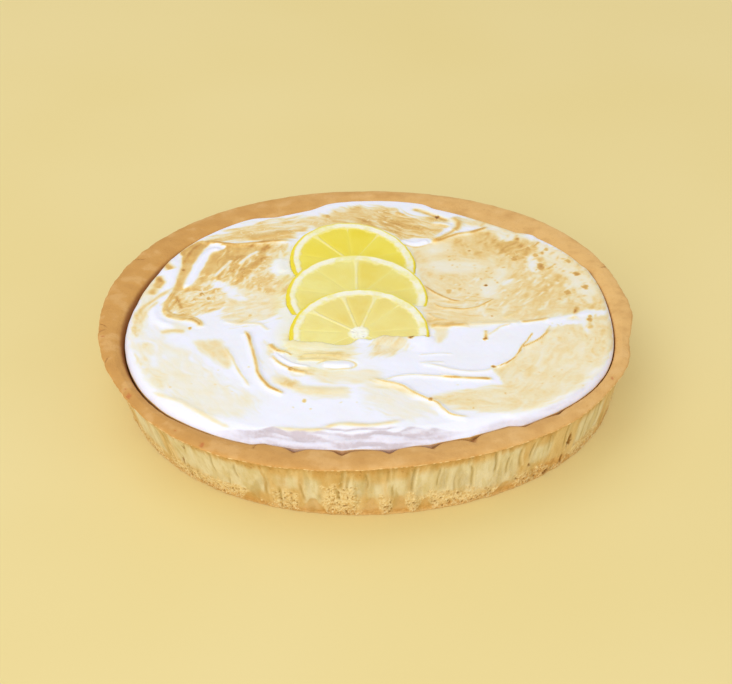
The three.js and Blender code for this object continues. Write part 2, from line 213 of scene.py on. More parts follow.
rings = [
    (mixed(radius, next_radius, step / count), mixed(height, next_height, step / count) + 0 * turn)
    for (radius, height, count), (next_radius, next_height, _) in zip(section, section[1:] + section[-1:])
    for step in range(count)
]
radius, height = (np.array(part) for part in zip(*rings))
for _ in range(2):
    for part in (radius, height):
        part[2:-2] = (part[1:-3] + 2 * part[2:-2] + part[3:-1]) / 4
x = radius * np.cos(turn)
y = radius * np.sin(turn)
places = (x, y, height)
ring = np.arange(len(rings))[:, None] + 0 * height
on_wall = eased(height, 0.2, 1.0) * eased(height, 28.0, 26.8) * (ring < LIP_RING + 5)
on_rim = eased(height, 28.6, 29.2)

# Creases of the wall, as direction and from which height to which: those that stand out, and fainter
# ones at about every six degrees.
patchy = dough_noise(*places, 7)
draw = np.random.default_rng(CRUST_SEED)
creases = [
    (229.5, 18, 22), (227.3, 7, 13), (237, 14, 25), (240.3, 8, 12), (242.5, 14, 22), (248.9, 8, 16),
    (251.6, 5, 13), (256.6, 8, 17), (259.9, 9, 12), (263.7, 9, 15), (264.8, 15, 25), (265.9, 15, 22),
    (269.8, 15, 24), (274.2, 18, 26), (275.4, 10, 16), (279.6, 12, 25), (284.9, 13, 23), (286.5, 11, 16),
    (288.5, 9, 17), (291.3, 21, 26), (292.2, 9, 21), (297.5, 14, 25), (300.6, 11, 20), (303.6, 12, 22),
    (306.2, 16, 23), (311, 15, 24), (315.8, 17, 25),
]
for place in np.arange(0, 360, 6.0):
    if not 225 < place < 318:
        creases.append((place + draw.uniform(-2, 2), *draw.uniform((5, 18), (14, 25))))
# Each crease is a groove painted dark as shade, and the fold beside it is a ridge painted light as a
# highlight.
crease = fold = 0
for place, low, high in creases:
    strength, lean, width = draw.uniform((0.5, -0.06, 0.2), (1.0, 0.06, 0.36))
    away = away_from(turn, place) - lean * (height - 16) - 0.5 * patchy
    length = eased(height, low - 1.5, low + 1.5) * eased(height, high + 1.5, high - 1.5)
    crease = np.maximum(crease, strength * bell(away, width) * length)
    fold = np.maximum(fold, strength * bell(away - 2 * width, width) * length)

# Golden drips below the browned lip, as direction, half width in degrees, how far down and how plain.
drips = [
    (222.6, 0.6, 10, 0.8), (217, 1.2, 13, 0.5), (248.7, 0.35, 5, 0.8), (252.6, 1.7, 13, 0.6),
    (256.7, 0.6, 7, 0.6), (260.5, 1.4, 20, 0.5), (264.5, 2.4, 16, 0.7), (271, 1.3, 20, 0.5),
    (277.5, 1.7, 19.5, 0.5), (281, 0.6, 21, 0.5), (288.5, 1.4, 22, 0.5), (292.6, 0.6, 20, 0.5),
    (305, 1.6, 15, 0.5), (311, 2, 18, 0.3),
]
for place in np.arange(-28, 212, 9.0):
    drips.append((place + draw.uniform(-3, 3), *draw.uniform((0.5, 10, 0.3), (2.4, 22, 0.8))))
drip = 0
for place, wide, low, plain in drips:
    away = np.abs(away_from(turn, place) - 0.5 * patchy)
    reach = wide * (0.55 + 0.45 * eased(height, low, 26))
    along = eased(height, low - 1.5, low + 2.5)
    drip = np.maximum(drip, plain * eased(away, 1.35 * reach, 0.6 * reach) * along)

# Pale places that the oven left nearly white, as direction, half width, from and to which height.
pale_places = [
    (215, 6, 8, 22), (231, 5.5, 9, 24), (239, 7, 7, 23), (246.5, 2.2, 9, 23), (253.5, 2.4, 14, 21),
    (258.6, 1.6, 6, 21), (267.6, 1.8, 11, 20), (271.6, 1.6, 10, 18), (276.4, 2.2, 10, 20), (282.5, 3, 8, 22),
    (288.5, 4, 8, 23), (295, 3.4, 6, 22), (300.5, 2.6, 6, 24), (309, 2.6, 11, 20), (325, 5, 8, 22),
]
for place in np.arange(-12, 206, 14.0):
    wide = draw.uniform(2, 6)
    pale_places.append((place + draw.uniform(-4, 4), wide, *draw.uniform((6, 18), (11, 24))))
pale = 0
for place, wide, low, high in pale_places:
    away = np.abs(away_from(turn, place) - 0.6 * patchy)
    zone = eased(away, wide + 1.3, wide - 0.9) * eased(height, low - 2.5, low + 2.5)
    pale = np.maximum(pale, zone * eased(height, high + 2, high - 2.5))

# Crumbly stretches of the lower wall, as direction, width in degrees and height in millimetres.
small = dough_noise(*places, 0.9)
ragged = dough_noise(*places, 3)
STRETCHES = [
    (212, 12, 7), (226, 7, 9), (235, 12, 8), (241, 6, 9), (252.8, 5.4, 13), (264.6, 7, 17), (274, 3, 11),
    (279.7, 3, 11), (287, 12, 10), (295, 8, 6.5), (308, 10, 8), (314, 6, 5), (325, 12, 9), (345, 12, 9),
    (5, 10, 7), (22, 8, 11), (40, 12, 9), (62, 9, 7), (78, 8, 11), (97, 14, 8), (118, 8, 10), (134, 12, 8),
    (152, 7, 12), (168, 12, 7), (190, 14, 9),
]
crumbly = 0.6 * eased(height, 6, 2)
for place, width, top in STRETCHES:
    zone = eased(np.abs(away_from(turn, place)), 0.75 * width, 0.35 * width)
    crumbly = np.maximum(crumbly, zone * eased(height, top + 4, top - 4))

# Smooth scrapes where flakes broke off the foot, between heaps of crumbs: direction, width at the foot
# in degrees, and height.
FLAKES = [
    (244.5, 6, 6), (258.6, 6, 9), (270.9, 5, 9.5), (277, 4.4, 10), (282.5, 4, 7.5), (301, 7, 6), (338, 8, 8),
    (15, 6, 8), (31, 5, 9), (52, 7, 8), (70, 5, 9), (87, 5, 8), (108, 6, 9), (126, 5, 8), (143, 6, 9),
    (160, 5, 8), (179, 6, 8), (204, 6, 8),
]
flake = 0
for place, width, top in FLAKES:
    away = np.abs(away_from(turn, place)) + 0.25 * ragged
    reach = 0.5 * width * (1 - height / (1.25 * top))
    flake = np.maximum(flake, eased(away, reach + 0.3, reach - 0.3) * eased(height, top + 0.6, top - 0.6))
flake = flake * on_wall
crumbly = eased(crumbly + 0.7 * ragged + 0.35 * small, 0.35, 0.8) * (1 - flake) * on_wall
# Pits among the crumbs, painted dark as shade, and the raised rims round them, painted light as highlights.
lumps = crumb_noise(x, y, 0.6 * height, 1.15)
pits = eased(lumps + 0.3 * small + 0.2 * ragged, 0.38, 0.1) * crumbly
grit = eased(np.abs(lumps + 0.15 * small - 0.56), 0.2, 0.04) * crumbly
baked = 3.2 + 4.6 * bell(away_from(turn, DARK_SIDE), 7) + 1.2 * ragged
baked = eased(height, baked + 1.2, baked - 1.0) * (height < 12)
baked = baked * (0.72 + 0.28 * bell(away_from(turn, DARK_SIDE), 9))

# Gouges where the browned skin came away: direction, height, width, tallness and depth.
GOUGES = [
    (317.9, 13.8, 1.5, 4.2, 1.2), (312.5, 1.7, 1.8, 1.7, 0.9), (306.5, 11, 0.7, 1.4, 0.6),
    (303.8, 5.5, 0.6, 0.8, 0.6), (316.9, 4.8, 1.1, 3, 0.9), (227, 10, 0.8, 2.2, 0.7),
    (229.3, 20, 0.5, 1.1, 0.5), (73, 9, 1.1, 2.6, 0.7), (134, 12, 1, 2.4, 0.7), (28, 14, 0.8, 2, 0.6),
]
gouge = 0
for place, level, wide, tall, deep in GOUGES:
    upward = (height - level) / tall
    across = away_from(turn, place) * 1.9 + 0.6 * upward
    pointed = wide * np.clip(1 - 0.55 * upward, 0.15, 2)
    spot = np.exp(-((across / pointed) ** 2) - upward**2)
    gouge = np.maximum(gouge, deep * eased(spot * (1 + 0.9 * small), 0.25, 0.75))
gouge = gouge * on_wall

folds = dough_noise(*places, 3.6, 26)
waves = 0.14 * dough_noise(*places, 1.6, 11) + 0.35 * folds + 0.4 + 0.2 * patchy
depth = np.maximum.reduce([0.55 * crease, 0.45 * pits, gouge, 0.5 * flake]) - 0.3 * fold - 0.3 * grit
depth = depth + waves * on_wall * (1 - 0.7 * flake)
radius = radius - np.clip(depth, 0, None)
lumpy = 0.4 * dough_noise(*places, 2.6) + 0.25 * dough_noise(*places, 1.2)
radius = radius + lumpy * eased(height, 5, 1) * (ring > 3) * (ring < LIP_RING)
# A small raised bead round the lip's outer edge, which is also painted light as a highlight.
bead = bell(ring - LIP_RING - 6.5, 1.4) * (0.75 + 1.1 * dough_noise(x, y, 30, 1.1))
# Painted shadow: a dark band on the underside of the lip's edge.
under_lip_shadow = bell(ring - LIP_RING - 2, 2.2)
radius = radius + 0.25 * bead

# Small cracks of the rim, as direction, half width, from and to which radius, and slant, and places
# where it is burnt reddish, as direction, radius and size.
CRACKS = [
    (184.3, 0.35, 110, 115, 0.3), (183, 0.3, 109.5, 112.5, -1.2), (196, 0.3, 110.5, 112.5, 1.5),
    (246, 0.3, 105, 109, 0.2), (152, 0.3, 111, 115, 0.4), (20, 0.3, 112, 115, 0.2),
]
RED_SPECKS = [
    (212.3, 112.8, 1.7), (209.5, 111.3, 0.8), (236.5, 115, 1.2), (184, 112.5, 0.8), (229, 114, 0.6),
    (332, 113.4, 0.8), (349, 113, 0.6), (187, 111, 0.7),
]
uneven = 0.22 * dough_noise(x, y, 0, 12) + 0.1 * dough_noise(x, y, 5, 3.4) - 0.2
pocks = eased(crumb_noise(x, y, 3, 2.6), 0.16, 0.04)
pocks = pocks * (0.15 + 0.85 * facing(turn, 195))
crooked = 0.5 * dough_noise(x, y, 8, 2)
crack = 0
for at, wide, low, high, lean in CRACKS:
    across = away_from(turn, at) * 2 - lean * (radius - low) - crooked
    along = eased(radius, low - 0.8, low + 0.8) * eased(radius, high + 0.8, high - 0.8)
    crack = np.maximum(crack, bell(across, wide) * along * (ring > LIP_RING + 8))
frayed = 0.7 * dough_noise(x, y, 14, 1.1)
red = 0
for at, out, wide in RED_SPECKS:
    away = np.hypot(away_from(turn, at) * 2, radius - out) / wide
    red = np.maximum(red, eased(away + frayed, 1.3, 0.3) * on_rim)
height = height + (uneven - 0.12 * pocks - 0.15 * red) * on_rim - 0.35 * crack
height = height + 0.7 * facing(turn, 95) * eased(height, 20, 28)
# The inner wall below the mouth is painted darker brown: partly its own browning, partly painted shade in
# the recess.
inner = eased(height, 29.1, 27.6) * (ring > MOUTH_RING)
crust_marks = dict(
    crease=capped(np.maximum(crease, 0.35 * eased(folds, 0.15, 0.5)) * on_wall),
    fold=capped(fold * on_wall),
    drip=capped(drip * on_wall),
    baked=capped(baked, 1),
    pale=capped(pale),
    under=capped(under_lip_shadow),
    grit=capped(grit),
    crumb=capped(pits),
    crumbly=capped(crumbly),
    flake=capped(flake),
    scorch=capped(gouge),
    lip=capped(eased(ring, LIP_RING + 2, LIP_RING + 5), 0, 1),
    pock=capped(pocks * on_rim),
    bead=capped(bead),
    crack=capped(crack),
    red=capped(red),
    inner=capped(inner, 1, 1),
)


class Grain:
    """A value that changes over a surface. Expressions on it add the nodes of a material."""

    def __init__(self, tree, socket):
        self.tree = tree
        self.socket = socket

    def node(self, kind, settings, values, output=0):
        """Adds a node with its settings first and then its sockets' values or links."""
        made = self.tree.nodes.new(kind)
        for setting, value in settings.items():
            if setting == "stops":
                points = made.color_ramp.elements
                while len(points) < len(value):
                    points.new(0.5)
                for point, (position, shade) in zip(points, value):
                    point.position = position
                    point.color = colour(shade)
            else:
                setattr(made, setting, value)
        for key, value in values.items():
            if isinstance(value, Grain):
                self.tree.links.new(value.socket, made.inputs[key])
            else:
                made.inputs[key].default_value = value
        return Grain(self.tree, made.outputs[output])

    def maths(self, operation, *values):
        return self.node("ShaderNodeMath", {"operation": operation}, dict(enumerate(values)))

    def __add__(self, other):
        return self.maths("ADD", self, other)

    __radd__ = __add__

    def __sub__(self, other):
        return self.maths("SUBTRACT", self, other)

    def __rsub__(self, other):
        return self.maths("SUBTRACT", other, self)

    def __mul__(self, other):
        return self.maths("MULTIPLY", self, other)

    __rmul__ = __mul__

    def between(self, low, high):
        """0 up to low and 1 from high on, with a soft passage between them."""
        values = {"Value": self, "From Min": low, "From Max": high}
        return self.node("ShaderNodeMapRange", {"interpolation_type": "SMOOTHSTEP"}, values)

    def tint(self, *ends):
        """Colour that goes from the first to the second as this value goes from 0 to 1."""
        start, end = (shade if isinstance(shade, Grain) else colour(shade) for shade in ends)
        return self.node("ShaderNodeMix", {"data_type": "RGBA"}, {0: self, 6: start, 7: end}, 2)

    def drawn_up(self, share):
        """These places with their lumps made taller."""
        return self.node("ShaderNodeVectorMath", {"operation": "MULTIPLY"}, {0: self, 1: (1, 1, share)})

    def lumps(self, size, detail=3.0, rough=0.55):
        """Cloudy noise at these places, with lumps of a size in metres."""
        values = {"Vector": self, "Scale": 1 / size, "Detail": detail, "Roughness": rough}
        return self.node("ShaderNodeTexNoise", {}, values)

    def mark(self, name):
        """One of the marks of the mesh."""
        return self.node("ShaderNodeAttribute", {"attribute_name": name}, {}, "Fac")

    def bumped(self, distance, strength):
        """Normal of a surface with this relief, of a height in metres."""
        return self.node("ShaderNodeBump", {}, {"Strength": strength, "Distance": distance, "Height": self})


def colour(shade):
    """A colour from its red, green and blue screen values of 0 to 255."""
    return tuple(((v / 255 + 0.055) / 1.055) ** 2.4 if v > 10 else v / 3295 for v in shade) + (1.0,)


def layered(base, *layers):
    """A colour with others laid over it in turn, each after how much of it shows."""
    for share, over in layers:
        base = share.tint(base, over)
    return base


def finish_of(name, **constants):
    """A new material, its shader with the constant sockets set, and its places on the object."""
    material = bpy.data.materials.new(name)
    material.use_nodes = True
    tree = material.node_tree
    shader = tree.nodes["Principled BSDF"]
    for key, value in constants.items():
        shader.inputs[key.replace("_", " ")].default_value = value
    places = tree.nodes.new("ShaderNodeTexCoord")
    return material, shader, Grain(tree, places.outputs["Object"])


def feed(shader, **values):
    """Links changing values to a shader's sockets."""
    for key, value in values.items():
        value.tree.links.new(value.socket, shader.inputs[key.replace("_", " ")])


shortcrust, shader, place = finish_of("shortcrust", Specular_IOR_Level=0.25)
mark = place.mark
side, ahead, level = (place.node("ShaderNodeSeparateXYZ", {}, {0: place}, axis) for axis in range(3))
streaks = place.drawn_up(0.12).lumps(0.0016)
wide_streaks = place.drawn_up(0.16).lumps(0.005)
cloud = place.lumps(0.012, 4)
fine = place.lumps(0.0007, 3, 0.7)
specks = place.lumps(0.0016, 2, 0.6)
blotches = place.lumps(0.008, 2, 0.5)
crumbs = place.node("ShaderNodeTexVoronoi", {}, {"Vector": place, "Scale": 1 / 0.0011})
# Painted shade: a darker golden-brown band with dark specks at the top of the wall, under the overhanging
# lip.
lip_shade_band = (level + wide_streaks * 0.008 + streaks * 0.004).between(0.028, 0.0318)
creamy = layered(
    wide_streaks.between(0.4, 0.66).tint((233, 222, 182), (220, 203, 149)),
    (streaks.between(0.5, 0.66) * 0.4, (208, 190, 126)),
)
wall = layered(
    wide_streaks.between(0.35, 0.7).tint((228, 198, 134), (214, 176, 106)),
    (streaks.between(0.54, 0.7) * 0.4, (198, 162, 84)),
    (mark("pale") * 0.9, creamy),
    (mark("drip") * (streaks.between(0.25, 0.6) * 0.5 + 0.3), (208, 166, 90)),
    # Painted shade under the lip, with dark specks in it.
    (lip_shade_band * 0.7, (203, 158, 84)),
    (lip_shade_band * specks.between(0.55, 0.68) * 0.5, (160, 110, 48)),
    # Painted shadow under the lip's edge.
    (mark("under") * 0.6, (166, 112, 50)),
    (mark("crumbly") * 0.75, specks.between(0.4, 0.62).tint((214, 176, 106), (238, 210, 146))),
    (mark("flake") * 0.75, cloud.between(0.4, 0.6).tint((220, 184, 124), (206, 164, 88))),
    (mark("baked") * 0.75, specks.between(0.4, 0.65).tint((200, 144, 66), (224, 176, 100))),
    # Painted highlights on the rims of the crumbs.
    (mark("grit") * fine.between(0.35, 0.6) * 0.85, (250, 232, 178)),
    # Painted highlight on the folds and painted shade in the creases.
    (mark("fold") * 0.5, (246, 230, 180)),
    (mark("crease") * 0.75, (164, 136, 62)),
    # Painted shade in the pits.
    (mark("crumb").between(0.1, 0.9) * 0.75, (150, 107, 44)),
    # The gouges are coloured dark olive-brown in their hollows.
    (mark("scorch").between(0.05, 0.7) * (fine * 0.4 + 0.65), (148, 98, 18)),
)
golden = layered(
    (side * 4.5 + 0.5 + (cloud - 0.5) * 0.8).between(0.0, 1.0).tint((213, 158, 82), (235, 187, 113)),
    (ahead.between(0.02, -0.1) * 0.35, (196, 142, 74)),
    (blotches.between(0.48, 0.7) * 0.3, (192, 136, 68)),
    (blotches.between(0.48, 0.32) * 0.3, (240, 196, 130)),
    (specks.between(0.6, 0.72) * 0.16, (182, 122, 60)),
    (fine.between(0.54, 0.72) * 0.2, (176, 118, 58)),
    # Cracks and pocks of the rim are painted darker, as shade in them.
    (mark("crack") * 0.8, (140, 78, 34)),
    (mark("red") * 0.6, (190, 96, 50)),
    (mark("pock") * 0.2, (170, 108, 56)),
    # Painted highlight along the bead of the lip.
    (mark("bead").between(0.4, 1.1) * 0.85, (248, 216, 150)),
    # Darker inner wall: browning and painted shade.
    (mark("inner"), (160, 104, 52)),
)
feed(
    shader,
    Base_Color=mark("lip").tint(wall, golden),
    Roughness=fine * 0.2 + 0.68,
    Normal=(fine * 0.6 + crumbs * 0.3 + specks * 0.4).bumped(0.0004, 0.6),
)
x = capped(radius * np.cos(turn))
y = capped(radius * np.sin(turn))
faces = ring_faces(len(rings), CRUST_COLUMNS)
crust = shaped("crust_pastry", x, y, capped(height, 0, FILL_LEVEL), faces, shortcrust, crust_marks)
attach(crust, "root")
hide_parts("crust")

# ---- Meringue ----
# Egg white whipped with sugar, spread over the filling with a palette knife and browned from above.
# It is white where the knife folded it over, and the crests and thin spreads are toasted. The slices
# are pressed into it, and it laps over the lower part of the front one.
MERINGUE_RINGS = 240
EDGE_RINGS = 24
MERINGUE_SEED = 11
CROWN = 32.2
DOME = 0.7
HEAPS = [(-3, -34, 15, 1.0), (-5, 66, 20, 1.2)]  # centre, reach and rise
SLANT = 1.64  # places are set out along a slanting sight, so what stands higher lies nearer the front
SET_OUT_LEVEL = 31.5
UNDERSIDE = FILL_LEVEL + 0.3
SLICE_THICKNESS = 3.85
SLICE_TILT = math.radians(8)
SLICE_LEVEL = 33.5
SLICES = {
    "front": SimpleNamespace(x=-2.2, y=-20.9, radius=29.6, oval=0.011, towards=77),
    "middle": SimpleNamespace(x=-3.0, y=9.2, radius=30.3, oval=0.022, towards=145),
    "back": SimpleNamespace(x=-4.6, y=39.3, radius=28.8, oval=0.07, towards=119),
}


def slice_radius(cut, angle):
    """Radius of a lemon slice, which is a little oval, in a direction of its own face."""
    return cut.radius * (1 + cut.oval * np.cos(2 * (angle - math.radians(cut.towards))))


def drawn(path, parts=8, closed=False):
    """A stroke or a closed outline as a smooth curve through its points, given as x, y, x, y and so on."""
    p = np.reshape(path, (-1, 2)).astype(float)
    p = np.vstack([p[-1:], p, p[:2]] if closed else [2 * p[0] - p[1], p, 2 * p[-1] - p[-2]])
    t = np.linspace(0, 1, parts, endpoint=False)[:, None]
    spans = [
        0.5 * (2 * b + (c - a) * t + (2 * a - 5 * b + 4 * c - d) * t**2 + (3 * b - a - 3 * c + d) * t**3)
        for a, b, c, d in zip(p, p[1:], p[2:], p[3:])
    ]
    return np.vstack(spans + [p[-2]])


def near_curve(curve, x, y, reach):
    """The corners near a curve: their distance, side, share of its length, and whether it rings them."""
    low = curve.min(axis=0) - reach
    high = curve.max(axis=0) + reach
    near = np.flatnonzero((x > low[0]) & (x < high[0]) & (y > low[1]) & (y < high[1]))
    px = x[near]
    py = y[near]
    best = np.full(len(near), 1e9)
    side = np.ones(len(near))
    share = np.zeros(len(near))
    inside = np.zeros(len(near), bool)
    for i, (start, end) in enumerate(zip(curve, curve[1:])):
        way = end - start
        along = np.clip(((px - start[0]) * way[0] + (py - start[1]) * way[1]) / (way @ way), 0, 1)
        dx = px - start[0] - along * way[0]
        dy = py - start[1] - along * way[1]
        away = np.hypot(dx, dy)
        closer = away < best
        best[closer] = away[closer]
        side[closer] = np.sign(way[0] * dy - way[1] * dx)[closer]
        share[closer] = ((i + along) / (len(curve) - 1))[closer]
        if start[1] != end[1]:
            crossing = start[0] + (py - start[1]) * way[0] / way[1]
            inside ^= ((start[1] > py) != (end[1] > py)) & (px < crossing)
    return near, best, side, share, inside


def near_stroke(path, x, y, reach):
    """The corners within reach of a stroke, with their distance, side and share of its length."""
    *found, _ = near_curve(drawn(path), x, y, reach)
    kept = found[1] < reach
    return [values[kept] for values in found]


def along_across(x, y, direction):
    """Places as measured along a direction and across it."""
    lean = math.radians(direction)
    return x * math.cos(lean) + y * math.sin(lean), y * math.cos(lean) - x * math.sin(lean)


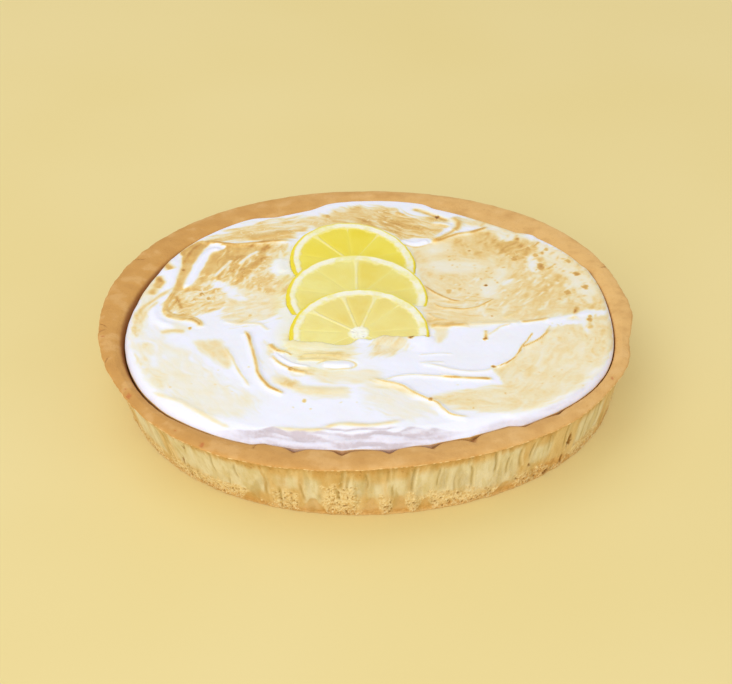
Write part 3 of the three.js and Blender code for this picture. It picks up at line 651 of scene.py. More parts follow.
# Strokes of the knife, as rise, width, step, toast, band and path. A rise is a ridge and a negative one
# a furrow, the width is how far it reaches to each side, and a step is how much higher its left side
# lies. The toast is the browning along a stroke, or with a minus the whitening, over its band.
STROKES = [
    # back left
    (1, 1.6, 0, 0.72, 0.8, -72, 64, -66, 63.5, -62, 62.2, -57, 61.4, -48, 62.4, -40, 63.9, -31, 63.8),
    (0.5, 2.6, 0, 0.58, 2.2, -53, 65.6, -44, 68.4, -37.5, 71, -32, 72.6),
    (1.2, 2.2, 0, -1, 2.3, -63, 58.5, -68, 56, -71.2, 50, -73, 43, -74.6, 35, -76.2, 28, -78, 22),
    (-0.5, 1.6, 0, 0.62, 2.6, -71, 62.6, -74, 58, -76.4, 51, -78, 43),
    (0.2, 1, 0, 0.74, 0.7, -72.5, 62.5, -76, 58, -78.4, 51, -79.6, 44),
    (-0.4, 1.4, 0, 0.56, 2.2, -76.6, 51, -78.4, 43, -79.6, 33.3, -80.2, 25.3, -81.6, 18.9),
    (0.2, 1, 0, 0.6, 0.6, -80.4, 40, -80.6, 30, -81, 22, -83, 14, -84.8, 7),
    (0.7, 1.4, 0, 0.56, 1, -82, 18.9, -84, 12.5, -85.2, 6, -84.8, 1.3),
    (0.6, 1.8, 0, 0.42, 1.5, -85, 4, -83.6, -0.4, -80, -3, -76, -4.2, -72, -5.4, -69.6, -8, -68.6, -11.4),
    (0.1, 1, 0, 0.56, 0.45, -84, 0.6, -80, -0.8, -75, -1.8, -71.4, -3.4, -69, -6.4, -68, -10.4),
    (0.9, 2.4, 0, -1, 2.5, -84.6, 52, -84.2, 44, -84.6, 37, -84.8, 30, -86, 23, -88, 16, -89.8, 9, -89.4, 1,
     -86, -6, -78, -9),
    (0.1, 1, 0, 0.62, 2.2, -88.6, 47, -86.8, 43, -84.4, 38.6),
    (0.1, 1, 0, 0.58, 2.2, -90.6, 34, -89.8, 29, -90.8, 24, -91.8, 16),
    (0.1, 1, 0, 0.74, 1.3, -90.4, 32, -88.4, 29, -87.6, 27.4, -88.6, 25, -90, 22),
    (0, 1, 0, 0.66, 0.8, -81, 16, -79.6, 10, -77.6, 4),
    (0, 1, 0, 0.4, 1.4, -86, -15, -81, -13.8, -75, -14.6),
    (0, 1, 0, 0.44, 1.2, -83.6, 22, -90, 13, -94.6, 6, -98, -4),
    (0, 1, 0, 0.34, 0.9, -88, 12, -93, 2, -95, -8),
    (0, 1, 0, 0.3, 0.9, -92, 30, -95, 22, -97, 12),
    # left patch
    (0.3, 2, 0, 0.6, 1.4, -65.5, 52, -67, 42, -69, 32),
    (0.5, 1.6, 0, 0.62, 1.7, -43.9, 54, -47.1, 44.5, -52, 36.5, -56, 28.5),
    (0.3, 1.2, 0, 0.57, 2, -60, 56.8, -55, 55.6, -50, 56.2),
    (0.3, 1.2, 0, 0.66, 1.2, -56, 50, -60.5, 44, -62, 36, -65, 29),
    (0.3, 1.2, 0, 0.6, 1, -52, 51, -55.5, 44, -58, 37),
    (0.5, 1.2, 0, -0.8, 0.9, -46.5, 55, -51, 49.5, -55, 42),
    (0.4, 1, 0, -0.7, 0.8, -58, 47, -62, 39, -65.5, 31),
    (0.6, 2.6, 0, -0.9, 2.6, -37, 48, -36.5, 40, -34, 36),
    (0.3, 1.2, 0, 0.26, 0.8, -60.7, -6, -52, -8.3, -44.7, -8.7, -41.5, -12.3, -39.9, -14.7),
    # front left
    (1.3, 1.5, 0, 0.74, 0.75, -50.4, -14, -48.7, -17.6, -46.8, -26.5, -44.9, -36.8, -43.6, -45.8, -41.7,
     -52.2, -38.6, -58, -35.3, -61, -32.5, -63.9),
    (0, 2, 0, -0.9, 2.6, -43.5, -16, -43, -26, -41, -38, -38.5, -48, -33, -56),
    (0.5, 1.4, 0, 0.38, 0.5, -58.3, -26.5, -55, -34.2, -52.6, -41.9, -49.4, -50.9, -46.4, -58.8),
    (0.9, 1.3, 0, 0.62, 1.2, -39.5, -25, -37.5, -28.5, -35, -31, -32.6, -32),
    (0.3, 1, 0, 0.86, 0.4, -36.6, -30.4, -34, -31.2, -31.6, -32.6, -30, -35),
    (0.8, 1.2, 0, -0.9, 1.2, -37.5, -32, -34, -37, -29, -41.5, -22, -44),
    (0.9, 1.2, 0, 0.62, 0.7, -38.3, -34, -35.2, -40, -30.8, -44.3, -26.9, -46.8, -23.5, -48),
    (0.8, 2.6, 0, -1, 2.4, -17.5, -41.6, -11, -42.2, -5, -43.4),
    (-0.3, 0.9, 0, 0.42, 0.5, -20, -42.5, -17, -39.8, -11, -38.9, -5.6, -40.2, -3.6, -43, -6, -45.6, -12,
     -46, -18, -45),
    (0.4, 1, 0, 0.4, 0.7, -26, -34.5, -18, -34.2, -9, -35.2),
    (0.4, 1, 0, 0.4, 0.8, -28, -38.5, -20, -38.2, -10, -38.6),
    (0.3, 2, 0, 0.3, 2.4, -38, -50, -32, -56, -24, -60.5, -14, -62.2, -6, -61.5),
    # front
    (0.7, 1.8, 0, 0.36, 1.3, -38, -87.4, -30.8, -89.4, -23, -90.4, -18, -89.8, -12.8, -87.2, -7.7, -86.4,
     1.3, -87.6, 9, -86.2, 15.5, -83.8),
    (0.3, 1.6, 0, 0.28, 1.3, -86, -60.8, -79.5, -65, -73.1, -68.8, -65.4, -76.5, -57.7, -84.2, -52, -89),
    (-0.6, 1.3, 0, 0, 1, -14.7, -95.1, -7.7, -95.8, -1.3, -97, 10, -97.7),
    (1.1, 1.6, 0.6, 0.58, 0.55, 2.6, -52.8, 9, -56, 15.4, -59.2, 19.2, -64, 24.4, -68.5, 28.2, -71.7, 30.8,
     -76.6, 34.6, -81, 41, -83),
    (0.7, 1.4, 0, 0.36, 0.5, 8, -54.4, 13, -52.4, 19.2, -51.1, 28.2, -52.2, 38.5, -53.8),
    (0.8, 1.4, 0, 0.68, 0.9, 30, -52.6, 38.5, -53.8, 44.9, -54.5, 52, -55.3),
    (0.6, 1.4, 0, 0.2, 0.5, 23, -42.6, 28.2, -43.9, 35.9, -47.7, 42.3, -49.4, 48.7, -49, 53.2, -46.5),
    (0.8, 1.3, 0.9, 0.76, 0.42, 52, -47, 56.6, -44.2, 60.4, -40.7, 63.3, -36, 65, -31.6, 68.6, -28.6, 72,
     -25.4, 75, -21.6, 78.4, -17.6),
    (0.3, 1, 0, 0.66, 0.4, 63.2, -36, 64.7, -31.2, 67, -27.3, 69, -23, 70.5, -19.6),
    (0.2, 1, 0, 0.5, 0.4, 75.6, -21, 77.2, -17, 78.2, -14),
    (0.3, 0.9, 0, 0.22, 0.4, 22.4, -36.2, 29, -35.2, 36.5, -35.6),
    (0.3, 0.9, 0, 0.22, 0.4, 22, -42.4, 27, -41.6, 33, -42.2),
    (0.6, 1.2, 0, 1, 1.1, 18.4, -24.6, 20.4, -21.6, 22.8, -20.4, 25.4, -21.2, 27.4, -23),
    # right
    (0.5, 1.2, 0, 0.4, 0.5, 51, -22, 54.8, -17.5, 57.5, -14.6, 62, -12),
    (0.6, 1.2, 0, 0.7, 0.75, 50.3, -25, 50.6, -21.4, 51.2, -17),
    (0.5, 1.2, 0, 0.66, 0.9, 66, -11, 72, -10.1, 78.5, -8),
    (0.6, 1.4, 0.3, 0.58, 0.9, 27.5, -12, 34, -13.2, 37.8, -12.5, 44, -12),
    (0.4, 1.4, 0, 0.3, 0.6, 44, -12, 55, -11.6, 66, -11),
    (0.3, 1.2, 0, 0.68, 0.9, 88.6, -8, 89.9, -4, 90.9, 1),
    (0.1, 1.2, 0, 0.9, 0.35, 88.2, -8.6, 89.2, -5, 89.9, -1),
    (0.2, 1, 0, 0.46, 1, 94.6, -17, 95, -12, 95.6, -8),
    (0.35, 1.6, 0, -0.85, 1.6, 76, -11, 82, -8.6, 88, -6.6, 97, -4.6),
    (0.4, 0.9, 0, 0.72, 0.4, 26, 21.5, 29.2, 17, 33, 12.4, 37.8, 8.4, 41.5, 7),
    (0.4, 0.9, 0, 0.62, 0.4, 29.7, 6, 33, 2.7, 38.7, 1, 43.5, 0.8, 48.2, 2.2, 53, 6, 56, 9),
    (0.3, 0.9, 0, 0.42, 0.45, 58.6, -7.3, 62.4, -4.5, 66.2, -0.7, 67.9, 3.5),
    (0.3, 0.9, 0, 0.45, 0.5, 27, -2.4, 30.4, -6.4, 35, -8.5),
    # back
    (-0.6, 1.4, 0, 0.66, 1.5, 23, 93, 29.2, 88.6, 34.6, 83.9, 40, 80),
    (0.5, 1.2, 0, 0.6, 0.9, 15.5, 89.8, 19.4, 86.6),
    (1, 1.6, 0, 0.62, 1, 31.2, 60.2, 35.4, 65, 39.2, 68.1, 42.3, 71.9),
    (0.8, 2, 0, 0.62, 1.9, 41, 70.5, 43.4, 74, 43.9, 79, 41.5, 84.5),
    (0.9, 1.6, 0, 0.68, 1, 31.2, 60.6, 36.2, 63.1, 42.3, 67.3, 49.2, 69.2, 53, 71.2, 57.4, 74),
    (0.2, 1, 0, 0.62, 1.2, 72, 46, 73, 49, 74.4, 53.6),
    (0.2, 1, 0, 0.66, 0.4, 76, 53, 77.6, 56, 79.6, 59),
    (0.2, 1, 0, 0.66, 0.5, 81, 33.4, 83, 36, 85.4, 39),
    (0.2, 1, 0, 0.52, 0.9, 66, 41.5, 67.6, 44, 69, 47),
    (0.1, 1, 0, 0.46, 0.7, 68, 60.5, 69.4, 63, 70, 66),
    (0.1, 1, 0, 0.44, 0.7, 78, 47, 80, 49.4, 82.4, 53),
    (0.2, 1, 0, 0.44, 0.9, 53.5, 73.5, 55, 76.5, 57, 78.4),
    (0.9, 2, 0, -0.9, 1.7, 16.6, 62.4, 23, 59.3, 29.6, 62.2),
    (-0.2, 0.9, 0, 0.55, 0.5, 17.4, 58.8, 23.8, 55.6, 31.2, 59),
    (0.7, 1.4, 0, -0.8, 1.2, 31, 78.6, 36.9, 77.8, 40.4, 74.8, 37.5, 70.2, 32.2, 63.8),
]

# Toasted places and white ones, each laid over those before it: how brown it is, softness of its edge,
# direction of the knife's streaks or the point they run round, how much they stand out, and outline.
PATCHES = [
    # right and back right
    (0.34, 3, (44, 30), 0.4, 22, 58, 30, 62, 44, 66, 58, 71, 67, 67, 76, 60, 84, 52, 92, 43, 98, 31, 102, 14,
     103, -2, 102, -14, 90, -9, 76, -9, 62, -11, 46, -14, 34, -13, 26, -9, 26, 18, 23, 38),
    (0.4, 4, 65, 0.6, 62, 44, 74, 60, 84, 52, 92, 43, 98, 31, 102, 14, 103, -2, 98, -8, 84, -6, 70, -4, 62,
     10, 60, 26),
    (0.46, 4, 100, 0.3, 40, 62, 48, 67, 57, 69, 61, 62, 59, 52, 56, 46, 50, 45, 44, 48, 41, 55),
    (0.54, 2.5, 60, 0.6, 60, 60, 67, 61, 71, 57, 70, 52, 66, 49, 61, 52),
    (0.46, 3, 60, 0.4, 72, 30, 84, 29, 91, 24, 91, 14, 84, 11, 75, 13, 70, 21),
    (0.39, 3, 20, 0.35, 60, 8, 72, 10, 86, 6, 88, -4, 76, -7, 64, -8, 56, -2),
    (0.24, 2, -50, 0.6, 80, 57, 86, 50, 90, 43, 94, 35, 92, 32, 88, 38, 84, 44, 79, 50),
    (0.22, 2.2, -70, 0.6, 95, 32, 99, 24, 101, 12, 98, 10, 95, 18, 92.6, 27),
    (0.22, 3, 0, 0.4, 30, 43, 40, 43, 50, 40, 52, 36, 48, 32, 38, 31, 31, 33),
    (0.2, 2.5, 75, 0.5, 60, 36, 64, 31, 60, 21, 56, 10, 51, 9, 52, 19, 56, 28),
    (0.2, 2, 60, 0.9, 80, 40, 86, 38, 92, 33, 97, 22, 97, 10, 94, 8, 91, 22, 84, 33),
    (0.1, 1.3, 80, 0.8, 73.6, 45, 76.6, 44, 77.8, 38, 76.8, 32, 74.2, 31, 72.6, 37),
    (0.2, 1.2, -50, 1, 80, 47, 84, 44, 88, 38, 87, 35, 83, 40, 79.6, 43.6),
    (0.18, 1.2, -70, 1, 92, 27, 95.6, 22, 98, 14, 97.6, 4, 95, 6, 94, 16, 91.6, 22),
    (0.5, 1.6, 55, 0.9, 64, 47, 68, 51, 73, 56, 76, 58, 76.4, 54, 72.6, 49, 67, 44, 63.6, 44),
    (0.2, 1.6, -50, 0.7, 78, 57, 82, 52, 86, 48, 89, 43, 86, 43, 82, 46, 79, 50),
    (0.15, 1.6, -50, 0.5, 61, 68, 66, 69, 71, 65, 68, 61, 63, 60),
    (0.13, 1.4, 35, 0.5, 60, 21.5, 63, 24.5, 66, 25.5, 65, 22.5, 62, 20.5),
    (0.16, 2, 80, 0.5, 51, 18, 54, 21, 56, 17, 54, 12, 51, 12),
    (0.46, 1.6, 60, 0.5, 81, 27, 85, 28, 88, 24, 86, 20, 82, 20.6),
    (0.24, 2.5, -30, 0.4, 27, 53, 36, 60, 40, 58, 36, 50, 29, 48),
    # back
    (0.38, 3, -35, 0.9, -24, 82, -16, 90, -8, 94, 2, 96, 12, 95, 18, 91, 22, 85, 30, 84, 38, 80, 40, 74, 35,
     66, 30, 63, 22, 64, 16, 62, 14, 66, 8, 70, 0, 72, -8, 73, -20, 72),
    (0.53, 3, -32, 0.7, 6, 86, 16, 81, 24, 80, 30, 76, 31, 70, 26, 66, 18, 66, 16, 72, 9, 79),
    (0.45, 2.5, 0, 0.4, -13, 90, -6, 92, 1, 90, 3, 85, -4, 83, -12, 84),
    (0.04, 1.3, -50, 0.4, 18, 94, 22, 95, 27, 91, 31, 86, 26, 84, 20, 84, 17, 89),
    (0.03, 1, 0, 0.2, 17, 62, 24, 64, 30, 63.6, 31, 60, 28, 57, 22, 56.4, 18, 58),
    (0.37, 3, 18, 0.9, -70, 66, -60, 74, -48, 81, -34, 85, -22, 86, -24, 76, -30, 70, -32, 66, -48, 64, -62,
     64),
    (0.33, 2, 18, 0.9, -50, 74, -40, 79, -28, 82, -22, 79, -34, 75, -44, 71.5),
    (0.46, 1.8, 16, 0.8, -55, 65, -46, 68, -38, 71.4, -31, 73.6, -29, 70, -33, 66.6, -42, 65, -52, 63.6),
    (0.25, 2.5, -35, 1, 44, 84, 52, 82, 60, 77, 68, 72, 73, 67, 66, 67, 58, 71, 50, 74, 45, 78),
    # left
    (0.42, 3, 66, 0.9, -43, 61, -34, 59, -33, 48, -38, 44, -39, 36, -31, 31, -32, 16, -42, 12, -50, 18, -58,
     24, -52, 38, -47, 48),
    (0.41, 3, 40, 1.1, -80, 24, -70, 24, -62, 22, -56, 12, -62, 4, -70, 0, -78, -2, -84, 4, -84, 12),
    (0.59, 1.6, 66, 0.7, -63.6, 61.4, -52, 61.4, -43, 60.6, -41, 54, -45, 46, -49, 37, -53, 28, -60, 27, -66,
     26, -75, 21, -74.4, 30, -71, 42, -68, 51, -64.6, 57),
    (0.57, 1.6, 80, 0.3, -61, 58, -54, 58.8, -48, 57, -50, 52, -55, 49.6, -60, 51.4),
    (0.42, 2.4, 66, 0.8, -73, 33, -67, 36, -60, 33, -57, 28, -62, 26, -69, 23, -75, 21),
    (0.55, 1.4, 76, 0.2, -68, 54, -65, 55, -62, 50, -63, 40, -66, 31, -72.4, 29, -70.6, 38, -69, 48),
    # the loop at the far left
    (0.57, 0.7, 75, 0.4, -75, 64.6, -69, 64, -70.8, 58, -73.4, 50, -75.4, 40, -77, 30, -79, 22, -82.4, 12,
     -83.2, 5, -81, 1, -76, -2.2, -72, -3.8, -70, -6, -69, -9.4, -70.8, -7.4, -74, -5.2, -80, -4.4, -85, -1,
     -86.2, 4, -85.8, 10, -83.4, 18, -82, 24, -81.8, 32, -80.4, 42, -80.8, 50, -80, 58),
    (0.42, 0.6, 75, 0.3, -76, 56, -76.4, 50, -77, 42, -78.4, 33, -80, 25, -81.4, 19, -84, 12, -84.6, 5,
     -82.6, 1, -78, -2, -72, -3.4, -78, -2.8, -83.4, 0.4, -85, 5, -84.8, 10, -82.4, 18, -80.8, 25, -79.6, 34,
     -79, 42, -79, 50),
    (0.62, 0.7, 62, 0.5, -79.6, 58, -76, 61.6, -72.6, 62.4, -74.6, 58, -76.6, 53, -79, 52),
    (0.02, 0.7, 75, 0.2, -62, 60, -68.6, 59.6, -71.4, 54, -73.6, 48, -75.4, 39, -76.8, 31, -78.4, 22, -76.2,
     23.4, -73.6, 29, -71, 39, -69.4, 47, -67.4, 54, -62.4, 57),
    (0.6, 0.8, 50, 0.4, -82, 58, -79, 58.6, -77, 52, -79, 49.6, -81.6, 53),
    (0.23, 3.5, 28, 1.2, -58, 20, -46, 20, -36, 14, -34, 4, -40, -5, -48, -9, -57, -7, -60, 6),
    (0.02, 1.6, 60, 1.6, -38, 41, -35.6, 41, -33, 36, -32, 33, -36, 33, -38.4, 36),
    (0.2, 0.7, 88, 0.4, -37.4, 54, -36, 54, -35.4, 44, -37.4, 44),
    (0.04, 1.2, 60, 1, -67, 25, -64, 29, -60.6, 25, -62, 21.6),
    (0.06, 1.8, -50, 0.8, -59, 22, -54, 19, -50, 12, -54, 11, -59, 15),
    (0.17, 2, 80, 1, -94, 26, -90, 22, -91, 10, -93, 0, -97, 2, -97, 14),
    # front left
    (0.16, 5, -60, 0.6, -97, -2, -90, -6, -84, -22, -76, -26, -62, -46, -52, -60, -42, -68, -48, -80, -62,
     -80, -76, -66, -88, -52, -96, -30, -98, -14),
    (0.34, 2, -58, 0.3, -71, -23, -66, -21.6, -60.4, -22, -57.4, -28, -54.6, -36, -56, -44, -61, -38, -67,
     -31),
    (0.29, 2, -85, 1, -97.4, 2, -94, 0, -93, -10, -96, -18, -98, -10),
    (0.26, 2, -80, 1, -91.4, -22, -88, -26, -89, -38, -92, -41, -93.4, -30),
    (0.24, 2, -55, 1, -90, -44, -84, -48, -80, -57, -84, -58, -89, -52),
    (0.42, 1.6, -72, 0.5, -42, -23, -38.6, -30, -38.6, -42, -34, -50, -27, -55, -30, -60, -38, -53, -42, -41,
     -43.4, -30),
    # front
    (0.26, 2.5, -4, 0.6, -33, -18, -22, -18, -6, -20, -4, -32, -6, -38, -20, -39, -28, -37, -33, -30),
    (0.38, 1.6, -4, 0.8, -26, -34, -18, -32.6, -8, -34, -7, -37, -18, -38.4, -26, -38),
    (0.25, 3, 60, 0.8, 3, -17, 17, -17, 19, -24, 17, -32, 9, -36, 2, -36, 3, -28),
    (0.3, 2.6, 60, 0.9, 6, -18, 14, -18, 15, -25, 10, -29, 4, -29),
    (0.36, 1.6, -20, 0.8, -30, -44.5, -22, -45, -16, -48, -22, -51, -29, -48),
    (0.2, 2.5, -6, 0.6, -20, -47, -4, -47, 5, -47, 6, -54, -8, -57, -20, -54),
    (0.28, 3, -4, 0.4, -28, -59, -18, -59, -8, -61, -8, -66, -18, -67.4, -26, -64),
    (0.13, 3, -40, 0.8, 3, -55, 14, -60, 22, -68, 28, -78, 20, -84, 8, -82, 0, -72, -2, -60),
    (0.32, 2.2, -30, 0.5, 2, -54, 10, -57, 17, -61, 20, -65, 13, -63, 5, -59),
    # front right
    (0.28, 1.1, 62, 0.6, 52, -48.6, 56.6, -45.4, 60.6, -41.8, 64, -35.8, 66, -30.8, 69.8, -26.2, 74.4, -21.6,
     78.6, -15.6, 90, -14, 104, -11, 108, -28, 105, -48, 97, -62, 87, -73, 74, -82, 61, -86, 56, -76, 55.4,
     -60, 54, -53),
    (0.3, 2.4, 0, 0.5, 27, -68, 36, -64, 48, -62, 58, -61, 59, -78, 50, -80, 40, -78, 32, -75),
    (0.34, 2.4, 78, 0.5, 89, -15, 100, -12, 101, -30, 96, -42, 92, -30, 88, -21),
    (0.06, 4, 35, 0.7, 54, -83, 66, -78, 78, -70, 89, -59, 97, -46, 106, -35, 109, -60, 92, -84, 60, -97),
    (0.46, 1.6, 20, 0.6, 27, -6, 34, -8, 38, -11, 36, -14, 29, -15, 27, -11),
    (0.26, 1.6, 80, 0.4, 28, -15, 31, -14, 35, -16, 33, -24, 30, -26, 30, -18),
    (0.08, 1.2, 78, 0.6, 92, -3, 103, -2.6, 102, -6.6, 97, -8.6, 95, -16, 93.4, -22, 91.6, -12),
]

# Small marks scattered over the browned parts: centre, reach along x and y, how many, length, width,
# direction and how far it varies, and how brown, which is nearly 0 for torn white flecks.
SCATTERED = [
    (-60, 30, 12, 9, 50, 1.6, 0.5, 62, 25, 0.1), (-57, 44, 9, 13, 26, 3.2, 0.5, 66, 8, 0.7),
    (-57, 42, 9, 14, 18, 3, 0.5, 66, 8, 0.12), (-44, 34, 10, 18, 60, 1.3, 0.6, 66, 30, 0.1),
    (-44, 34, 10, 18, 44, 1.3, 0.5, 66, 30, 0.5), (-68, 15, 9, 6, 20, 0.8, 0.5, 60, 60, 0.56),
    (-62, 14, 16, 9, 24, 1.6, 0.6, 60, 40, 0.05), (-50, 8, 14, 10, 18, 1.6, 0.5, 60, 40, 0.3),
    (-42, 77, 20, 7, 26, 4.5, 0.5, 17, 6, 0.46), (-42, 77, 20, 7, 16, 4, 0.5, 17, 6, 0.1),
    (14, 79, 18, 10, 34, 4, 0.5, -33, 8, 0.68), (14, 79, 18, 10, 18, 3, 0.5, -33, 8, 0.12),
    (78, 45, 12, 14, 26, 1.4, 0.9, 60, 30, 0.56), (91, 22, 6, 20, 22, 1.1, 0.9, 65, 40, 0.54),
    (84, 34, 13, 26, 44, 1.8, 0.8, 60, 25, 0.19), (93, 16, 6, 18, 30, 1.4, 1, 75, 30, 0.19),
    (58, 16, 20, 13, 44, 1.7, 0.4, 48, 12, 0.1), (58, 36, 28, 26, 60, 0.8, 0.45, 60, 60, 0.6),
    (56, 58, 16, 10, 24, 1.6, 0.7, 70, 40, 0.62), (42, 3, 16, 9, 14, 4.5, 0.4, -4, 8, 0.5),
    (42, 3, 16, 9, 12, 4, 0.4, -4, 8, 0.16), (66, 1, 26, 10, 40, 1.8, 0.6, 60, 25, 0.16),
    (82, 4, 10, 10, 10, 3, 0.5, 80, 10, 0.46), (-16, -34, 12, 6, 12, 4, 0.45, -4, 8, 0.44),
    (-12, -34, 16, 7, 14, 4, 0.45, -4, 8, 0.08), (-84, -32, 14, 30, 26, 5, 1.6, -62, 16, 0.2),
    (-84, -32, 14, 30, 22, 5, 1.6, -62, 16, 0.03), (-36.5, 38, 4, 5, 44, 3.4, 0.8, 0, 90, 0),
    (-66, 15, 10, 5, 34, 1.2, 0.5, 40, 60, 0.02), (78, -40, 20, 28, 22, 0.5, 0.4, 60, 60, 0.5),
    (96, -22, 4, 22, 14, 1.4, 0.5, 85, 20, 0.46), (-20, -55, 60, 22, 14, 0.5, 0.4, 0, 60, 0.5),
]

# Small browned spots, as centre, radius and how brown.
SPOTS = [
    (-73.5, -12.3, 0.8, 0.6), (-48.6, -2, 0.8, 0.5), (-24.4, -69.5, 0.8, 0.5), (50.4, -24, 1, 0.85),
    (26, -69.4, 0.9, 0.72), (95.3, -10, 1.3, 0.66), (95.6, -7.4, 0.9, 0.6), (95, -16, 1.3, 0.52),
    (88, 13.4, 1.8, 0.6), (91, 15, 1, 0.5), (96, 17.4, 1.6, 0.64), (93.6, 29.4, 1.6, 0.66),
    (90.6, 40.8, 1.4, 0.62), (78.3, 37.6, 1.8, 0.63), (78.3, 35.4, 1.8, 0.64), (78.4, 36.6, 1, 0.7),
    (82, 51.7, 1.2, 0.62), (80, 48.6, 1, 0.64), (73.6, 52, 1.9, 0.58), (73, 48.6, 1.6, 0.56),
    (77, 46.5, 1.4, 0.58), (67.2, 43.6, 1.7, 0.6), (70, 62, 1.3, 0.66), (53.5, 20.3, 0.7, 0.95),
    (47.7, 51.6, 0.7, 0.72), (37, 15.5, 1.4, 0.5), (54.3, -5.9, 0.5, 0.7), (84, 8, 1.1, 0.46),
    (79, 17, 1, 0.48), (84.6, 24, 1.2, 0.5), (-70, 16.4, 1.1, 0.64), (-67, 13, 1, 0.6), (-73, 12, 0.8, 0.56),
    (-15.8, 86.5, 1.2, 0.55), (-79.4, 38.4, 0.8, 0.72), (34.6, 84, 1.2, 1), (42.5, -76.5, 0.6, 0.5),
    (56, -66.5, 0.6, 0.5), (52.6, -46.4, 0.8, 0.8), (-30, -45, 1, 0.66),
]

# Where the layer has drawn in from the crust: direction, half width in degrees, and how far.
DRAWN_IN = [(111, 9, 1.5), (168, 18, 0.3)]

# The surface is made of rings of near-equal triangles, the outer rings rolling over to the crust.
counts = [1] + [6 * ring for ring in range(1, MERINGUE_RINGS + 1)]
turn = np.concatenate([np.arange(count) * 2 * np.pi / count for count in counts])
share = np.repeat(np.arange(MERINGUE_RINGS + 1) / MERINGUE_RINGS, counts)
sunken = facing(turn, BARE_SIDE)
edge_level = 28.2 - 0.9 * sunken + 1.4 * facing(turn, 92)
drawn_in = 0.3 + sum(deep * np.exp(-((away_from(turn, at) / wide) ** 4)) for at, wide, deep in DRAWN_IN)
drawn_in = drawn_in + (0.35 + 0.3 * sunken) * (0.5 + 0.5 * ring_noise(turn, 60, 0, 5))
smooth_edge = mouth_wall(turn, edge_level, 0) - drawn_in
edge_radius = mouth_wall(turn, edge_level, 0.12) - drawn_in
front_side = facing(turn, 266) ** 1.5
rolled = EDGE_RINGS / MERINGUE_RINGS
roll = np.clip((share - 1 + rolled) / rolled, 0, 1)
inner_radius = smooth_edge - 3.4 - 6.4 * front_side + 0.8 * facing(turn, 92)
outward = np.sin(roll * np.pi / 2)
spread = inner_radius * share / (1 - rolled)
radius = np.where(roll > 0, mixed(inner_radius, edge_radius, outward), spread)
x = radius * np.cos(turn)
y = radius * np.sin(turn)

plain = CROWN - DOME * (radius / edge_radius) ** 2
plain = plain + 0.35 * np.sin(x / 17 + y / 31) * np.cos(y / 21 - x / 44)
for heap_x, heap_y, reach, rise in HEAPS:
    plain = plain + rise * np.exp(-((x - heap_x) ** 2 + (y - heap_y) ** 2) / reach**2)
lift = np.zeros_like(x)
for rise, wide, step, _, _, *path in STROKES:
    seen_y = y + SLANT * (plain + 0.8 * rise - SET_OUT_LEVEL)
    near, away, side, length = near_stroke(path, x, seen_y, 9 if step else 3 * wide)
    fade = np.clip(12 * length, 0, 1) * np.clip(12 * (1 - length), 0, 1)
    shelf = 0.5 * step * np.tanh(side * away / wide) * np.exp(-away / 5) * fade
    lift[near] += rise * bell(away, wide) * fade + shelf
surface = plain + lift
surface = surface + 0.05 * dough_noise(x, y, 0, 3.2)
height_left = mixed(np.sqrt(1 - outward**2), 1 - outward, 0.6 * front_side)
level = edge_level + (surface - edge_level) * np.where(roll > 0, height_left, 1.0)

# Browning, set out on the surface as it now stands.
seen_y = y + SLANT * (level - SET_OUT_LEVEL)
blur_x = 1.1 * dough_noise(x, seen_y, 9, 5)
blur_y = 1.1 * dough_noise(x, seen_y, 31, 5)
toast = 0.04 + 0.05 * dough_noise(x, seen_y, 70, 11)
torn = np.zeros_like(x)
for seed, (brown, soft, knife, streaky, *outline) in enumerate(PATCHES):
    curve = drawn(outline, 4, True)
    near, depth, _, _, inside = near_curve(curve, x + 0.5 * blur_x, seen_y + 0.5 * blur_y, 2.5 * soft)
    depth = np.where(inside, depth, -depth)
    px = x[near] + blur_x[near]
    py = seen_y[near] + blur_y[near]
    if isinstance(knife, tuple):
        across = np.hypot(px - knife[0], py - knife[1])
        along = 20 * np.arctan2(px - knife[0], py - knife[1])
    else:
        along, across = along_across(px, py, knife)
    across = across + 1.6 * dough_noise(along, across, 40 + seed, 9)
    streak = dough_noise(along, 3.6 * across, seed, 8) + 0.6 * dough_noise(along, 4 * across, 20 + seed, 4)
    streak = streak + 0.35 * dough_noise(px, py, seed, 4.5)
    cover = eased(depth + 1.1 * soft * streaky * streak, -soft, soft)
    toast[near] = mixed(toast[near], brown * (1 + 0.55 * streaky * streak), cover)
    torn[near] = mixed(torn[near], streaky * min(1, 3 * brown), cover)
draw = np.random.default_rng(MERINGUE_SEED)
for cx, cy, reach_x, reach_y, count, long, wide, direction, spread, brown in SCATTERED:
    lows = (0, 0, 0.5, 0.7, -spread, -0.08, 0.4)
    highs = (1, 2 * math.pi, 1.5, 1.3, spread, 0.08, 1.0)
    for _ in range(count):
        out, around, longer, wider, lean, curl, strength = draw.uniform(lows, highs)
        at_x = cx + reach_x * math.sqrt(out) * math.cos(around)
        at_y = cy + reach_y * math.sqrt(out) * math.sin(around)
        length = long * longer
        reach = 1.6 * length + 1
        near = np.flatnonzero((np.abs(x - at_x) < reach) & (np.abs(seen_y - at_y) < reach))
        px = x[near] - at_x + 0.3 * blur_x[near]
        py = seen_y[near] - at_y + 0.3 * blur_y[near]
        along, across = along_across(px, py, direction + lean)
        across = across + curl * along**2
        cover = strength * np.exp(-((along / length) ** 2) - (across / (wide * wider)) ** 2)
        toast[near] = mixed(toast[near], brown, cover)
wide_edge = 0.8 + 3 * facing(turn, 262) + 0.3 * facing(turn, 115) - 0.5 * facing(turn, 350)
rim_band = eased(edge_radius - np.hypot(x, y) + 0.9 * blur_x, 2.8 * wide_edge, 0.5 * wide_edge)
toast = toast * (1 - 0.85 * rim_band)
